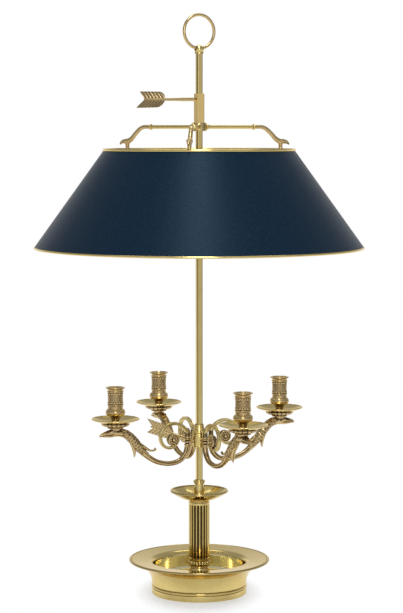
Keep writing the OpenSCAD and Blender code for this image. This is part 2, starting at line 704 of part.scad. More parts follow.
// Feathers and shaft along +X; the screw's end lies at near, the tips of the tail at far
module arrow(near, far, thick_to, roll) {
    front = far - feather_l;
    half = feather_w / 2;
    shoulder = feather_l * 0.2;
    shaft_end = far - feather_notch + 1;
    outline = concat(
        [[front, 0]],
        [for (k = [1 : 6]) let (a = 15 * k) [front + shoulder * (1 - cos(a)), half * 0.93 * sin(a)]],
        [[far - 3, half * 0.98], [far, half], [far - feather_notch, 0]]);
    rotate([roll, 0, 0]) {
        for (side = [0, 1]) mirror([0, 0, side]) rotate([90, 0, 0])
            translate([0, 0, -feather_t / 2]) linear_extrude(feather_t) polygon(outline);
        rotate([0, 90, 0]) revolve([
            [0, near], [arrow_screw_r, near], [arrow_screw_r, thick_to],
            [arrow_shaft_r, thick_to + 4], [arrow_shaft_r, shaft_end], [0, shaft_end]]);
    }
}

arrow_turn = 135;
screw_tip = stem_corner + 0.1;
sloped_tip = (screw_tip + arrow_screw_r * sin(cluster_arrow_slope)) / cos(cluster_arrow_slope);
module cluster_arrow_place() {
    translate([0, 0, hub_mid_h - 4]) rotate([0, 0, arrow_turn])
        rotate([0, -cluster_arrow_slope, 0]) children();
}
module carrier_arrow_place() {
    translate([0, 0, carrier_arrow_z]) rotate([0, 0, arrow_turn]) children();
}

module cluster_arrow() {
    color(old_brass) cluster_arrow_place()
        arrow(sloped_tip, cluster_arrow_reach, hub_r + 9, cluster_arrow_roll);
}

module carrier_arrow() {
    color(old_brass) carrier_arrow_place()
        arrow(screw_tip, carrier_arrow_reach, sleeve_w + 14, carrier_arrow_roll);
}

// ---- Shade carrier ----

module sleeve() {
    color(brass) difference() {
        square_bar(sleeve_w, sleeve_z, sleeve_h);
        square_bar(stem_bore_w, sleeve_z - 1, sleeve_h + 2);
        carrier_arrow_place() rotate([0, 90, 0])
            cylinder(r = arrow_screw_r + screw_gap, h = 2 * sleeve_w);
    }
}

module spider_hub() {
    color(brass) difference() {
        revolve([
            [0, sleeve_z], [spider_hub_r - 2, sleeve_z], [spider_hub_r, sleeve_z + 2],
            [spider_hub_r, sleeve_z + spider_hub_h - 2], [spider_hub_r - 2, sleeve_z + spider_hub_h],
            [0, sleeve_z + spider_hub_h]]);
        square_bar(sleeve_w + 2 * seat_gap, sleeve_z - 1, spider_hub_h + 2);
        for (i = SPIDERS) at_spider(i) translate([0, 0, spider_z]) tenon_hole(spider_hub_r, spider_rod_r);
    }
}

module spider_rod(i) {
    near = spider_hub_r - tenon_depth;
    root_flange = spider_rod_r + 2;
    color(brass) at_spider(i) translate([0, 0, spider_z]) rotate([0, 90, 0]) {
        translate([0, 0, near]) cylinder(r = spider_rod_r, h = knuckle_at - near);
        translate([0, 0, spider_hub_r]) cylinder(r = root_flange, h = 3);
        translate([0, 0, spider_hub_r + 3]) cylinder(r = root_flange - 1, h = 2.5);
        translate([0, 0, knuckle_at - 2.6]) cylinder(r = spider_rod_r + 1.9, h = 2.6);
        translate([0, 0, knuckle_at - 5]) cylinder(r = spider_rod_r + 0.9, h = 2.4);
    }
}

// Stations of a spider's bent end, with the bird's head over the post
function spider_stations() =
    let (r = spider_rod_r, run = post_at - knuckle_at)
    [[knuckle_at, spider_z, r * 1.1, r * 1.1],
     [knuckle_at + 0.13 * run, spider_z, r * 1.1, r * 1.1],
     [knuckle_at + 0.26 * run, spider_z, r * 1.1, r * 1.1],
     [knuckle_at + 0.46 * run, spider_z - 3.4, r * 1.12, r * 1.12],
     [knuckle_at + 0.66 * run, spider_z - 11, r * 1.15, r * 1.15],
     [knuckle_at + 0.82 * run, spider_z - 16.4, r * 1.25, r * 1.25],
     [post_at - 1, bird_z + 0.6, r * 1.5, r * 1.7],
     [post_at + 0.35 * spider_beak, bird_z + 0.2, r * 1.2, r * 1.3],
     [post_at + 0.75 * spider_beak, bird_z - 2.4, r * 0.7, r * 0.7],
     [post_at + spider_beak, bird_z - 6, r * 0.2, r * 0.2]];

module spider_end(i) {
    color(brass) at_spider(i) difference() {
        union() {
            sweep(spline(spider_stations(), 3), 10);
            translate([post_at, 0, post_z]) cylinder(r = post_r, h = bird_z - post_z);
        }
        translate([post_at, 0, post_z - 1]) cylinder(r = clamp_shank_r + seat_gap, h = 9);
    }
}

module clamp_screws() {
    head_h = 2.4;
    color(old_brass) for (i = SPIDERS) at_spider(i) translate([post_at, 0, lug_z]) {
        translate([0, 0, -head_h]) cylinder(r = clamp_head_r, h = head_h);
        cylinder(r = clamp_shank_r, h = lug_t + 7);
    }
}

module rim_lugs() {
    lug_w = 11;
    wall_in = wall_mid(lug_z) - shade_half - 2 * seat_gap;
    far = wall_in + 40;
    color(brass) for (i = SPIDERS) at_spider(i) difference() {
        translate([post_at - 5.5, -lug_w / 2, lug_z]) cube([30, lug_w, lug_t]);
        revolve([
            [wall_in + shade_lean, lug_z - 1], [far, lug_z - 1], [far, lug_z + 5],
            [wall_in - shade_lean * 5, lug_z + 5]]);
        translate([post_at, 0, lug_z - 1]) cylinder(r = clamp_shank_r + seat_gap, h = lug_t + 2);
    }
}

module shade() {
    top = shade_top_z - top_bead_r * 0.5;
    bottom = shade_bottom_h + bottom_bead_r * 0.5;
    color(enamel) revolve([
        [wall_mid(bottom) - shade_half, bottom], [wall_mid(bottom) + shade_half, bottom],
        [wall_mid(top) + shade_half, top], [wall_mid(top) - shade_half, top]]);
}

// A wire ring with a groove that the sheet's edge sits in, on the side that side points to
module bead(mid_r, z, wire_r, side) {
    half = shade_half + seat_gap;
    near = z + side * wire_r * 0.5;
    far = z + side * wire_r * 2;
    color(brass) rotate_extrude() difference() {
        translate([mid_r, z]) circle(r = wire_r);
        polygon([[wall_mid(near) - half, near], [wall_mid(near) + half, near],
            [wall_mid(far) + half, far], [wall_mid(far) - half, far]]);
    }
}

module shade_top_bead() { bead(shade_top_mid, shade_top_z, top_bead_r, -1); }
module shade_bottom_bead() { bead(shade_bottom_mid, shade_bottom_h, bottom_bead_r, 1); }

base_bowl();
base_washer();
base_nut();
tie_rod();
column_foot();
base_ring();
column();
column_cap();
drip_pan();
stem_collar();
stem();
ring_eye();
carry_ring();
hub();
for (i = ARMS) arm(i);
for (i = ARMS) scroll(i);
for (i = ARMS) rosette(i);
for (i = ARMS) under_cup(i);
for (i = ARMS) candle_pan(i);
for (i = ARMS) candle_cup(i);
cluster_arrow();
sleeve();
spider_hub();
for (i = SPIDERS) spider_rod(i);
for (i = SPIDERS) spider_end(i);
clamp_screws();
rim_lugs();
shade();
shade_top_bead();
shade_bottom_bead();
carrier_arrow();
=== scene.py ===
import math
import bpy
import numpy as np
from mathutils import Matrix, Vector


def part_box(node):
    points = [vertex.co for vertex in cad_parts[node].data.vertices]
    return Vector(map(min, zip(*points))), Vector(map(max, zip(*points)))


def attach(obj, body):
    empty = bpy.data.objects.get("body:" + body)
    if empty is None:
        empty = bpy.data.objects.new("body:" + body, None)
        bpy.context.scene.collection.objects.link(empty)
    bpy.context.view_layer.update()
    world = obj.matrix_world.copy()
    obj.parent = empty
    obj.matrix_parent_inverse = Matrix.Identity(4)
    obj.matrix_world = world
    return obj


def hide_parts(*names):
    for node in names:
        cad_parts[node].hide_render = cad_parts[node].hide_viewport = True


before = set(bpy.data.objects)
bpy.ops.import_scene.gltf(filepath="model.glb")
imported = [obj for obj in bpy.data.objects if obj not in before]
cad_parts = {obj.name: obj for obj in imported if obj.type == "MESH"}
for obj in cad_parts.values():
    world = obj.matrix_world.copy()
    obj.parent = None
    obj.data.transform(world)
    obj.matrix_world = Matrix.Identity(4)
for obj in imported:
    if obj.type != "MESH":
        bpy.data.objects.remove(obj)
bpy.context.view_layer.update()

mm = 0.001
arms = [1, 2, 3, 4]
spiders = [1, 2, 3]


def low(node):
    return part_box(node)[0] / mm


def high(node):
    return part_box(node)[1] / mm


def span(node):
    return low(node)[2], high(node)[2]


def midHeight(node):
    return sum(span(node)) / 2


# small helpers

def mix(a, b, t):
    return a + (b - a) * t


def ease(t):
    t = min(max(t, 0.0), 1.0)
    return t * t * (3 - 2 * t)


def arc(x, z, r, a, b, steps=12):
    angles = [math.radians(mix(a, b, i / steps)) for i in range(steps + 1)]
    return [(x + r * math.cos(t), z + r * math.sin(t)) for t in angles]


def curve(points, steps):
    # a smooth line through rows of numbers (Catmull-Rom)
    rows = [np.array(p, float) for p in points]
    rows = [2 * rows[0] - rows[1]] + rows + [2 * rows[-1] - rows[-2]]
    line = []
    for p, q, r, s in zip(rows, rows[1:], rows[2:], rows[3:]):
        for k in range(steps):
            t = k / steps
            line.append(0.5 * (2 * q + (r - p) * t + (2 * p - 5 * q + 4 * r - s) * t * t
                               + (3 * q - p - 3 * r + s) * t ** 3))
    return line + [rows[-2]]


def densify(profile, step):
    # adds points on long stretches, so that chased patterns have something to move
    line = [profile[0]]
    for a, b in zip(profile, profile[1:]):
        pieces = max(1, math.ceil(math.dist(a, b) / step))
        line += [(mix(a[0], b[0], i / pieces), mix(a[1], b[1], i / pieces)) for i in range(1, pieces + 1)]
    return line


def rotation(angle, axis):
    return Matrix.Rotation(math.radians(angle), 3, axis)


def quads(i, j, sides):
    # the faces between two rings of points
    return [(i * sides + k, i * sides + (k + 1) % sides, j * sides + (k + 1) % sides, j * sides + k)
            for k in range(sides)]


# a part is a list of points in millimetres, its faces and each point's recess, from 0 to 1 in a hollow
# the recess darkens the colour: painted shade in hollows, creases and under things, with some tarnish

def turnedPart(profile, segments=160, relief=None):
    # turns a profile of (radius, height) about an upright axis; relief(r, z, angle) gives (r, z, recess)
    points, recess = [], []
    for r, z in profile:
        for k in range(segments):
            a = 2 * math.pi * k / segments
            rr, zz, deep = relief(r, z, a) if relief else (r, z, 0.0)
            points.append((rr * math.cos(a), rr * math.sin(a), zz))
            recess.append(deep)
    rows = len(profile)
    return points, [face for i in range(rows) for face in quads(i, (i + 1) % rows, segments)], recess


def sweptPart(line, section, sides):
    # line: rows of (x, z, ...) in the XZ plane; section(row, i, angle) gives (normal, across, recess)
    points, recess, last = [], [], len(line) - 1
    for i, row in enumerate(line):
        a, b = line[max(i - 1, 0)], line[min(i + 1, last)]
        h = math.atan2(b[1] - a[1], b[0] - a[0])
        for k in range(sides):
            up, across, deep = section(row, i, 2 * math.pi * k / sides)
            points.append((row[0] - math.sin(h) * up, across, row[1] + math.cos(h) * up))
            recess.append(deep)
    faces = [face for i in range(last) for face in quads(i, i + 1, sides)]
    faces += [tuple(range(sides - 1, -1, -1)), tuple(last * sides + k for k in range(sides))]
    return points, faces, recess


def joined(*parts):
    points, faces, recess = [], [], []
    for p, f, r in parts:
        faces += [tuple(i + len(points) for i in face) for face in f]
        points += p
        recess += r
    return points, faces, recess


def placed(part, move=(0, 0, 0), turn=Matrix.Identity(3)):
    # the same part, turned by a matrix and then moved
    points, faces, recess = part
    matrix = Matrix.Translation(move) @ turn.to_4x4()
    return [tuple(matrix @ Vector(p)) for p in points], faces, recess


def addObject(name, data):
    thing = bpy.data.objects.new(name, data)
    bpy.context.scene.collection.objects.link(thing)
    return thing


def addPiece(name, part, look, body, node, sharp=35, turn=0.0, mesh=None):
    if mesh is None:
        points, faces, recess = part
        mesh = bpy.data.meshes.new(name)
        mesh.from_pydata([tuple(c * mm for c in p) for p in points], [], faces)
        hollows = mesh.attributes.new("recess", "FLOAT", "POINT").data
        hollows.foreach_set("value", np.array(recess, np.float32))
        mesh.materials.append(look)
        mesh.validate()
        mesh.shade_smooth()
        mesh.set_sharp_from_angle(angle=math.radians(sharp))
    piece = addObject(name, mesh)
    piece.rotation_euler[2] = turn
    even = piece.modifiers.new("evenShading", "WEIGHTED_NORMAL")
    even.keep_sharp = True
    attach(piece, body)
    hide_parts(node)
    return piece


def addRound(name, node, part, look, body, turns, sharp=40):
    # the same piece several times round the stem, sharing one mesh
    first = None
    for i, turn in turns.items():
        mesh = first and first.data
        first = addPiece(f"{name}_{i}", part, look, body, f"{node}_{i}", sharp, turn, mesh)


def paintFaces(piece, look, segments, first, last):
    # a second look on some rows of a turned piece
    piece.data.materials.append(look)
    rows = [1 if first <= i // segments <= last else 0 for i in range(len(piece.data.polygons))]
    piece.data.polygons.foreach_set("material_index", rows)


print("helpers ready")

# the looks of the brass, the enamel and the steel

looks = {
    "edge": (1.0, 0.93, 0.80),    # brass stays warm at a grazing angle
    "brass": {
        "colour": (0.77, 0.612, 0.255), "stain": (0.69, 0.53, 0.19), "dirtAndShade": (0.045, 0.018, 0.012),
        "rough": (0.10, 0.20), "clouds": 26, "spots": 300, "grime": 0.03, "bump": 0.035},
    "oldBrass": {
        "colour": (0.63, 0.48, 0.235), "stain": (0.50, 0.35, 0.155), "dirtAndShade": (0.045, 0.018, 0.026),
        "rough": (0.15, 0.28), "clouds": 60, "spots": 420, "grime": 0.03, "bump": 0.015},
    "rubbedBrass": {
        "colour": (0.75, 0.62, 0.28), "stain": (0.64, 0.50, 0.20), "dirtAndShade": (0.045, 0.018, 0.026),
        "rough": (0.12, 0.24), "clouds": 60, "spots": 420, "grime": 0.03, "bump": 0.02},
    # a lighter copy of the brass for the bowl's well: painted light, for light that bounces round inside it
    "wellBrassPaintedBright": {
        "colour": (0.97, 0.90, 0.60), "stain": (0.93, 0.85, 0.50), "dirtAndShade": (0.1, 0.05, 0.02),
        "rough": (0.08, 0.18), "clouds": 26, "spots": 300, "grime": 0.02, "bump": 0.03},
    "sleeveBrass": {
        "colour": (0.98, 0.735, 0.31), "stain": (0.90, 0.65, 0.24), "dirtAndShade": (0.045, 0.018, 0.012),
        "rough": (0.10, 0.20), "clouds": 26, "spots": 300, "grime": 0.03, "bump": 0.02},
    "enamel": {
        "colour": (0.0035, 0.0145, 0.032), "speck": (0.009, 0.028, 0.052), "rough": 0.40, "gloss": 0.17,
        "sheen": (0.45, 0.78, 1.0)},
    "inside": {
        "colour": (0.80, 0.76, 0.66), "shade": 0.93, "clouds": 40, "rough": 0.55, "metal": 0, "bump": 0.15},
    "steel": {
        "colour": (0.55, 0.56, 0.58), "shade": 0.80, "clouds": 80, "rough": 0.35, "metal": 1, "bump": 0.0},
}


def newLook(name):
    material = bpy.data.materials.new(name)
    material.use_nodes = True
    tree = material.node_tree
    return material, tree, tree.nodes["Principled BSDF"]


def plug(tree, node, inputs):
    # links a node's inputs, by name or number, or sets those that are given a plain value
    for key, source in inputs.items():
        if isinstance(source, bpy.types.NodeSocket):
            tree.links.new(source, node.inputs[key])
        else:
            node.inputs[key].default_value = source
    return node


def addNode(tree, kind, inputs, operation=None):
    node = tree.nodes.new(kind)
    if operation:
        node.operation = operation
    return plug(tree, node, inputs)


def addNoise(tree, scale, detail=4, rough=0.5):
    where = tree.nodes.new("ShaderNodeTexCoord").outputs["Object"]
    return addNode(tree, "ShaderNodeTexNoise", {
        "Vector": where, "Scale": scale, "Detail": detail, "Roughness": rough}).outputs["Fac"]


def addRange(tree, value, fromLow, fromHigh, toLow, toHigh):
    return addNode(tree, "ShaderNodeMapRange", {
        "Value": value, "From Min": fromLow, "From Max": fromHigh, "To Min": toLow,
        "To Max": toHigh}).outputs["Result"]


def addMix(tree, factor, a, b):
    blend = tree.nodes.new("ShaderNodeMix")
    blend.data_type = "RGBA"
    a, b = [(*colour, 1) if isinstance(colour, tuple) else colour for colour in (a, b)]
    return plug(tree, blend, {"Factor": factor, 6: a, 7: b}).outputs[2]


def addBump(tree, scale, detail, strength, distance=0.0003):
    height = addNoise(tree, scale, detail)
    return addNode(tree, "ShaderNodeBump", {
        "Strength": strength, "Distance": distance, "Height": height}).outputs["Normal"]


def brassLook(name, tone):
    # brass whose tone drifts slowly, rubbed bright on top, with spots of grime; the recess mixes in a dark
    # colour, painted shade in the hollows with some tarnish
    material, tree, shader = newLook(name)
    cloud = addRange(tree, addNoise(tree, tone["clouds"], 5), 0.38, 0.72, 0, 0.6)
    spots = addRange(tree, addNoise(tree, tone["spots"]), 0.55, 0.8, 0, tone["grime"])
    hollow = tree.nodes.new("ShaderNodeAttribute")
    hollow.attribute_name = "recess"
    dark = addNode(tree, "ShaderNodeMath", {0: hollow.outputs["Fac"], 1: spots}, "ADD")
    dark.use_clamp = True
    clean = addMix(tree, cloud, tone["colour"], tone["stain"])
    plug(tree, shader, {
        "Metallic": 1, "Specular Tint": (*looks["edge"], 1),
        "Base Color": addMix(tree, dark.outputs[0], clean, tone["dirtAndShade"]),
        "Roughness": addRange(tree, addNoise(tree, 90, 6, 0.65), 0.35, 0.7, *tone["rough"]),
        "Normal": addBump(tree, 700, 4, tone["bump"])})
    return material


def enamelLook(name, tone):
    # satin enamel, sprayed: fine orange peel with pale specks
    material, tree, shader = newLook(name)
    speck = addRange(tree, addNoise(tree, 520, 2), 0.5, 0.72, 0, 1)
    plug(tree, shader, {
        "Base Color": addMix(tree, speck, tone["colour"], tone["speck"]), "Roughness": tone["rough"],
        "Specular IOR Level": tone["gloss"], "Specular Tint": (*tone["sheen"], 1),
        "Normal": addBump(tree, 420, 3, 0.30, 0.0005)})
    return material


def plainLook(name, tone):
    material, tree, shader = newLook(name)
    cloud = addRange(tree, addNoise(tree, tone["clouds"]), 0.3, 0.7, 0, 1)
    darker = tuple(c * tone["shade"] for c in tone["colour"])
    plug(tree, shader, {
        "Base Color": addMix(tree, cloud, tone["colour"], darker), "Roughness": tone["rough"],
        "Metallic": tone["metal"], "Normal": addBump(tree, 500, 3, tone["bump"])})
    return material


brass = brassLook("polishedBrass", looks["brass"])
oldBrass = brassLook("antiquedBrass", looks["oldBrass"])
rubbedBrass = brassLook("rubbedBrass", looks["rubbedBrass"])
sleeveBrass = brassLook("sleeveBrass", looks["sleeveBrass"])
wellBrassPaintedBright = brassLook("wellBrassPaintedBright", looks["wellBrassPaintedBright"])
enamel = enamelLook("shadeEnamel", looks["enamel"])
creamInside = plainLook("shadeInside", looks["inside"])
steel = plainLook("zincSteel", looks["steel"])
print("finishes ready")

# the stand, from the bowl up to the carry ring

tieHole = 3.05
bowl = {
    "lipR": 106, "lipTop": 52, "edgeR": 1.6, "wallR": 71.5, "flareR": 31, "flareTurn": 70, "shoulderR": 8,
    "lipFall": 4.5, "floor": 20.5, "flatR": 40, "wall": 2.6, "fillet": 5, "footBeadZ": 11.5,
    "footBeadOut": 0.8, "footRing": 6, "segments": 256,
}


def makeBowl():
    b = bowl
    turn, fall, floor = math.radians(b["flareTurn"]), math.radians(b["lipFall"]), b["floor"]
    wall, thick, shoulder, fillet = b["wallR"], b["wall"], b["shoulderR"], b["fillet"]
    flareX, edgeX, edgeZ = wall + b["flareR"], b["lipR"] - b["edgeR"], b["lipTop"] - b["edgeR"]
    run = edgeX - flareX + b["flareR"] * math.cos(turn)
    flareZ = edgeZ - thick / 2 - b["flareR"] * math.sin(turn) - run / math.tan(turn)
    well, skirt, bead = wall - thick, wall - b["footRing"], b["footBeadZ"]
    shoulderX = well + shoulder

    def lipTop(r):
        return edgeZ + thick / 2 - (edgeX - r) * math.tan(fall)
    footLine, beadLine = (wall - 0.6, 9.1), (wall - 0.9, bead + 2.2)
    underLine, lipLine = (edgeX - 2.0, edgeZ - thick / 2 - 0.4), (edgeX - 1.8, lipTop(edgeX - 1.8) - 0.9)
    # scribed lines, darkened: painted shade in the grooves
    lines = {footLine: 0.7, beadLine: 1.0, underLine: 0.8, lipLine: 1.0}
    profile = [(skirt, 0), (wall - 0.6, 0), (wall, 0.6), (wall, 8.2), (wall - 0.2, 8.6), footLine,
               (wall - 0.2, 9.6)]
    profile += arc(wall - 1.2, bead, b["footBeadOut"] + 1.2, -50, 50, 12)
    profile += [(wall - 0.2, bead + 1.7), beadLine, (wall - 0.2, bead + 2.7)]
    profile += arc(flareX, flareZ, b["flareR"], 180, 180 - b["flareTurn"], 48) + [underLine]
    profile += arc(edgeX, edgeZ, b["edgeR"], -125, 140, 24)
    profile += [lipLine, (edgeX - 2.5, lipTop(edgeX - 2.5) - 0.1), (edgeX - 3.1, lipTop(edgeX - 3.1))]
    profile += [(r, lipTop(r)) for r in (mix(edgeX - 4, shoulderX, i / 6) for i in range(6))]
    shoulderZ = lipTop(shoulderX) - shoulder / math.cos(fall)
    profile += arc(shoulderX, shoulderZ, shoulder, 90 + b["lipFall"], 180, 20)
    wellTop = len(profile) - 4    # the last points of the shoulder stand upright
    profile += arc(well - fillet, floor + fillet, fillet, 0, -90, 16) + [(b["flatR"], floor)]
    wellFloor = len(profile) - 1
    profile += [(tieHole, floor), (tieHole, floor - thick), (well - 2, floor - thick), (well - 2, 8.5)]

    # the scribed lines and the whole rolled edge of the lip are darkened: painted shade
    def scribed(r, z, a):
        return r, z, lines.get((r, z), 0.42 if r > edgeX - 0.4 else 0.0)
    part = turnedPart(profile, b["segments"], scribed)
    piece = addPiece("bowlBase", part, brass, "stand", "base_bowl")
    # the well takes the lighter brass: painted light
    paintFaces(piece, wellBrassPaintedBright, b["segments"], wellTop, wellFloor)


column = {
    "radius": 15.6, "flutes": 20, "fluteW": 3.3, "fluteDepth": 2.6, "margin": 3.0, "coreR": 9, "turn": 3,
    "paintedShade": (1.1, 0.85), "segments": 400,
}


def makeColumn():
    c = column
    (bottom, top), margin = span("column"), c["margin"]
    half, pitch, (paintedShade, deepestShade) = c["fluteW"] / 2, 2 * math.pi / c["flutes"], c["paintedShade"]

    # each flute is darkened by its depth: painted shade
    def flute(r, z, a):
        if r < c["radius"] - 0.01:
            return r, z, 0.0
        side = ((a - math.radians(c["turn"]) + pitch / 2) % pitch - pitch / 2) * c["radius"]
        past = max(bottom + margin + half - z, z - (top - margin - half), 0)
        deep = math.sqrt(max(0, 1 - (side / half) ** 2 - (past / half) ** 2))
        return r - c["fluteDepth"] * deep, z, min(deepestShade, paintedShade * deep)
    ends = [bottom + margin + half * (1 - math.cos(math.radians(a))) for a in range(0, 91, 15)]
    lower = [bottom, bottom + margin - 0.4] + ends
    heights = lower + [mix(ends[-1], bottom + top - ends[-1], i / 8) for i in range(1, 8)] + \
        [bottom + top - z for z in reversed(lower)]
    profile = [(c["coreR"], bottom)] + [(c["radius"], z) for z in heights] + [(c["coreR"], top)]
    addPiece("flutedColumn", turnedPart(profile, c["segments"], flute), brass, "stand", "column", 50)


columnFoot = {"radius": 21, "waist": 12.6, "ring": 15.2, "steps": 16}


def makeColumnFoot():
    bottom, top = span("column_foot")
    foot, waist, ring, steps = columnFoot.values()
    profile = [(tieHole, bottom), (foot, bottom), (foot, bottom + 2.2)]
    profile += arc(foot - 1.4, bottom + 3.6, 1.4, 0, 90, 8)
    profile += [(mix(foot - 3.2, waist, ease(i / steps)), mix(bottom + 5.4, top - 4.4, i / steps))
                for i in range(steps + 1)]
    profile += arc(waist + 1.2, top - 3.2, 1.2, -60, 80, 8) + [(ring, top - 1.6), (ring, top), (tieHole, top)]
    addPiece("columnFoot", turnedPart(profile), brass, "stand", "column_foot")


beadRing = {"radius": 17.6, "beads": 22, "segments": 300}


def makeBaseRing():
    # a ring of cast beads between two fillets, darkened between the beads: painted shade
    (bottom, top), middle = span("base_ring"), midHeight("base_ring")
    half = (top - bottom) / 2
    centre, pitch = beadRing["radius"] - half, 2 * math.pi / beadRing["beads"]

    def bead(r, z, a):
        if r < centre - 0.1:
            return r, z, 0.0
        u = ((a + pitch / 2) % pitch - pitch / 2) / (pitch / 2)
        swell = math.sqrt(max(0, 1 - 0.80 * u * u))
        return centre + (r - centre) * swell, middle + (z - middle) * mix(swell, 1, 0.35), 0.95 * abs(u) ** 4
    profile = [(tieHole, bottom), (centre, bottom)] + arc(centre, middle, half, -88, 88, 16) + \
        [(centre, top), (tieHole, top)]
    addPiece("beadRing", turnedPart(profile, beadRing["segments"], bead), brass, "stand", "base_ring", 60)


def makeCap():
    (bottom, top), r = span("column_cap"), high("column_cap")[0]
    profile = [(tieHole, bottom), (r - 1.6, bottom), (r - 0.5, bottom + 0.3), (r, bottom + 0.9),
               (r, bottom + 1.7), (r - 0.6, bottom + 2.2), (r - 2, bottom + 2.4), (r - 2, top),
               (tieHole, top)]
    addPiece("columnCap", turnedPart(profile), brass, "stand", "column_cap")


def dish(seat, rim, height, steps=28, power=1.75):
    return [(mix(seat, rim, i / steps), height * (i / steps) ** power) for i in range(steps + 1)]


dripPan = {"height": 14, "seat": 14.6, "thick": 2.4, "edge": 1.7, "hole": 11.1, "segments": 224}


def makeDripPan():
    bottom, rim = low("drip_pan")[2], high("drip_pan")[0]
    height, seat, thick, edge, hole, segments = dripPan.values()
    lineR = rim - 2 * edge - 0.3
    under = dish(seat, rim - edge, height - edge)
    profile = [(tieHole, 0)] + under[:-1] + arc(rim - edge, height - edge + thick / 2, edge, -75, 165, 20)
    profile += [(lineR, height - edge + thick * 0.5)]
    profile += [(r - 0.4, z + thick) for r, z in reversed(under[1:-1])]
    profile += [(seat - 2, thick), (hole, thick), (hole, thick + 2), (tieHole, thick + 2)]

    # the scribed line and the rolled rim are darkened: painted shade
    def scribed(r, z, a):
        return r, z, 0.9 if abs(r - lineR) < 0.05 else 0.35 * (r > rim - 2 * edge)
    part = turnedPart([(r, z + bottom) for r, z in profile], segments, scribed)
    addPiece("dripPan", part, brass, "stand", "drip_pan")


stemCollar = {"ring": 9.0, "foot": 10.5, "neck": 6.9, "bead": 2.1, "hole": 5.9, "steps": 22}


def makeCollar():
    bottom, top = span("stem_collar")
    ring, foot, neck, half, hole, steps = stemCollar.values()
    ringZ = top - 2.6
    neckZ = ringZ - half - 1.4
    profile = [(hole, bottom + 8), (foot, bottom), (foot, bottom + 1.0), (foot - 0.4, bottom + 1.3)]
    profile += [(mix(foot - 0.8, neck, (i / steps) ** 0.45), mix(bottom + 2, neckZ, i / steps))
                for i in range(steps + 1)]
    profile += [(neck + 0.9, neckZ + 0.5)] + arc(ring - half, ringZ, half, -70, 70, 14)
    profile += [(neck + 0.4, top - 0.3), (neck + 0.1, top), (hole, top)]
    addPiece("stemCollar", turnedPart(profile), brass, "stand", "stem_collar")


def barPart(node, corner, hollow=0.0, cornerShade=(0.2, 0.2, 0.2, 0.2), steps=4):
    # a square bar with slightly rounded edges, open down the middle where hollow is set
    half, (bottom, top) = high(node)[0], span(node)
    ring = []
    for q, (sx, sy) in enumerate(((1, 1), (-1, 1), (-1, -1), (1, -1))):
        for i in range(-1, steps + 1):    # the first point is where the corner's painted shade line starts
            a = math.radians(90 * q + 90 * max(i, 0) / steps)
            back = cornerShade[q] if i < 0 else 0
            ring.append((sx * (half - corner) + corner * math.cos(a) + back * math.sin(a),
                         sy * (half - corner) + corner * math.sin(a) - back * math.cos(a)))
    bevel = corner * 0.6
    rows = [(bevel, bottom), (0, bottom + bevel), (0, top - bevel), (bevel, top)]
    points = [(x * (1 - cut / half), y * (1 - cut / half), z) for cut, z in rows for x, y in ring]
    count = len(ring)
    if hollow:
        points += [(x * hollow / half, y * hollow / half, z) for z in (top, bottom) for x, y in ring]
    levels = len(points) // count
    bands = levels if hollow else levels - 1
    faces = [face for i in range(bands) for face in quads(i, (i + 1) % levels, count)]
    if not hollow:
        faces += [tuple(range(count - 1, -1, -1)), tuple(bands * count + k for k in range(count))]
    line = [0.95 if 0 < k % (steps + 2) < 4 else 0.0 for k in range(count)]    # painted shade: a dark line down each corner
    return points, faces, line * levels


stemBar = {"corner": 1.0, "cornerShade": (0.2, 0.2, 2.2, 0.2)}    # one corner has a wide painted shade line


def makeStem():
    addPiece("squareStem", barPart("stem", **stemBar), brass, "stand", "stem", 50)


carryRing = {"wire": 2.5, "worn": 2.3}    # half the wire's thickness, new and worn


def makeCarryRing():
    wire, worn = carryRing.values()
    bottom, top = span("carry_ring")
    profile = arc((top - bottom) / 2 - wire, 0, worn, 0, 360 - 15, 23)
    part = placed(turnedPart(profile), (0, 0, midHeight("carry_ring")), rotation(90, "X"))
    addPiece("carryRing", part, oldBrass, "carry_ring", "carry_ring")


makeBowl()
makeColumnFoot()
makeBaseRing()
makeColumn()
makeCap()
makeDripPan()
makeCollar()
makeStem()
makeCarryRing()
print("stand ready")

# the shade, and the carrier that slides on the stem

shadeShape = {
    "topBeadR": 2.1, "bottomBeadR": 1.6, "overlap": 0.49, "thick": 0.98, "rows": 40, "segments": 256,
}


def makeShade():
    s = shadeShape
    (bottom, top), rows = span("shade"), s["rows"]
    reach, topR = high("shade")[0], high("shade_top_bead")[0] - s["topBeadR"] + s["overlap"]
    outer = [(mix(reach, topR, i / rows), mix(bottom, top, i / rows)) for i in range(rows + 1)]
    inner = [(r - s["thick"], z) for r, z in reversed(outer)]
    part = turnedPart(outer + inner, s["segments"])
    shade = addPiece("shadeCone", part, enamel, "shade_carrier", "shade")
    paintFaces(shade, creamInside, s["segments"], rows + 1, 2 * rows)


def makeWireRing(name, node, wire):
    profile = arc(high(node)[0] - wire, midHeight(node), wire, 0, 345, 23)
    addPiece(name, turnedPart(profile, shadeShape["segments"]), brass, "shade_carrier", node)


sleeveBar = {"corner": 0.5, "hollow": 4.25}


def makeSleeve():
    addPiece("slidingSleeve", barPart("sleeve", **sleeveBar), sleeveBrass, "shade_carrier", "sleeve", 50)


def makeSpiderHub():
    (bottom, top), r, hole = span("spider_hub"), high("spider_hub")[0], 6.2
    profile = [(hole, bottom), (r - 1.2, bottom), (r - 0.4, bottom + 0.2), (r, bottom + 0.9),
               (r - 0.15, midHeight("spider_hub")), (r, top - 0.9), (r - 0.4, top - 0.2), (r - 1.2, top),
               (hole, top)]
    addPiece("spiderHub", turnedPart(profile, 96), oldBrass, "shade_carrier", "spider_hub")


def aboutX(part, move=(0, 0, 0)):
    # a turned part laid down, so that its axis runs outward along X
    return placed(part, move, rotation(90, "Y"))


rod = {"radius": 2.5, "hubR": 11, "end": 91, "turn": -3}
spiderTurns = {i: math.radians(rod["turn"] + (i - 1) * 120) for i in spiders}


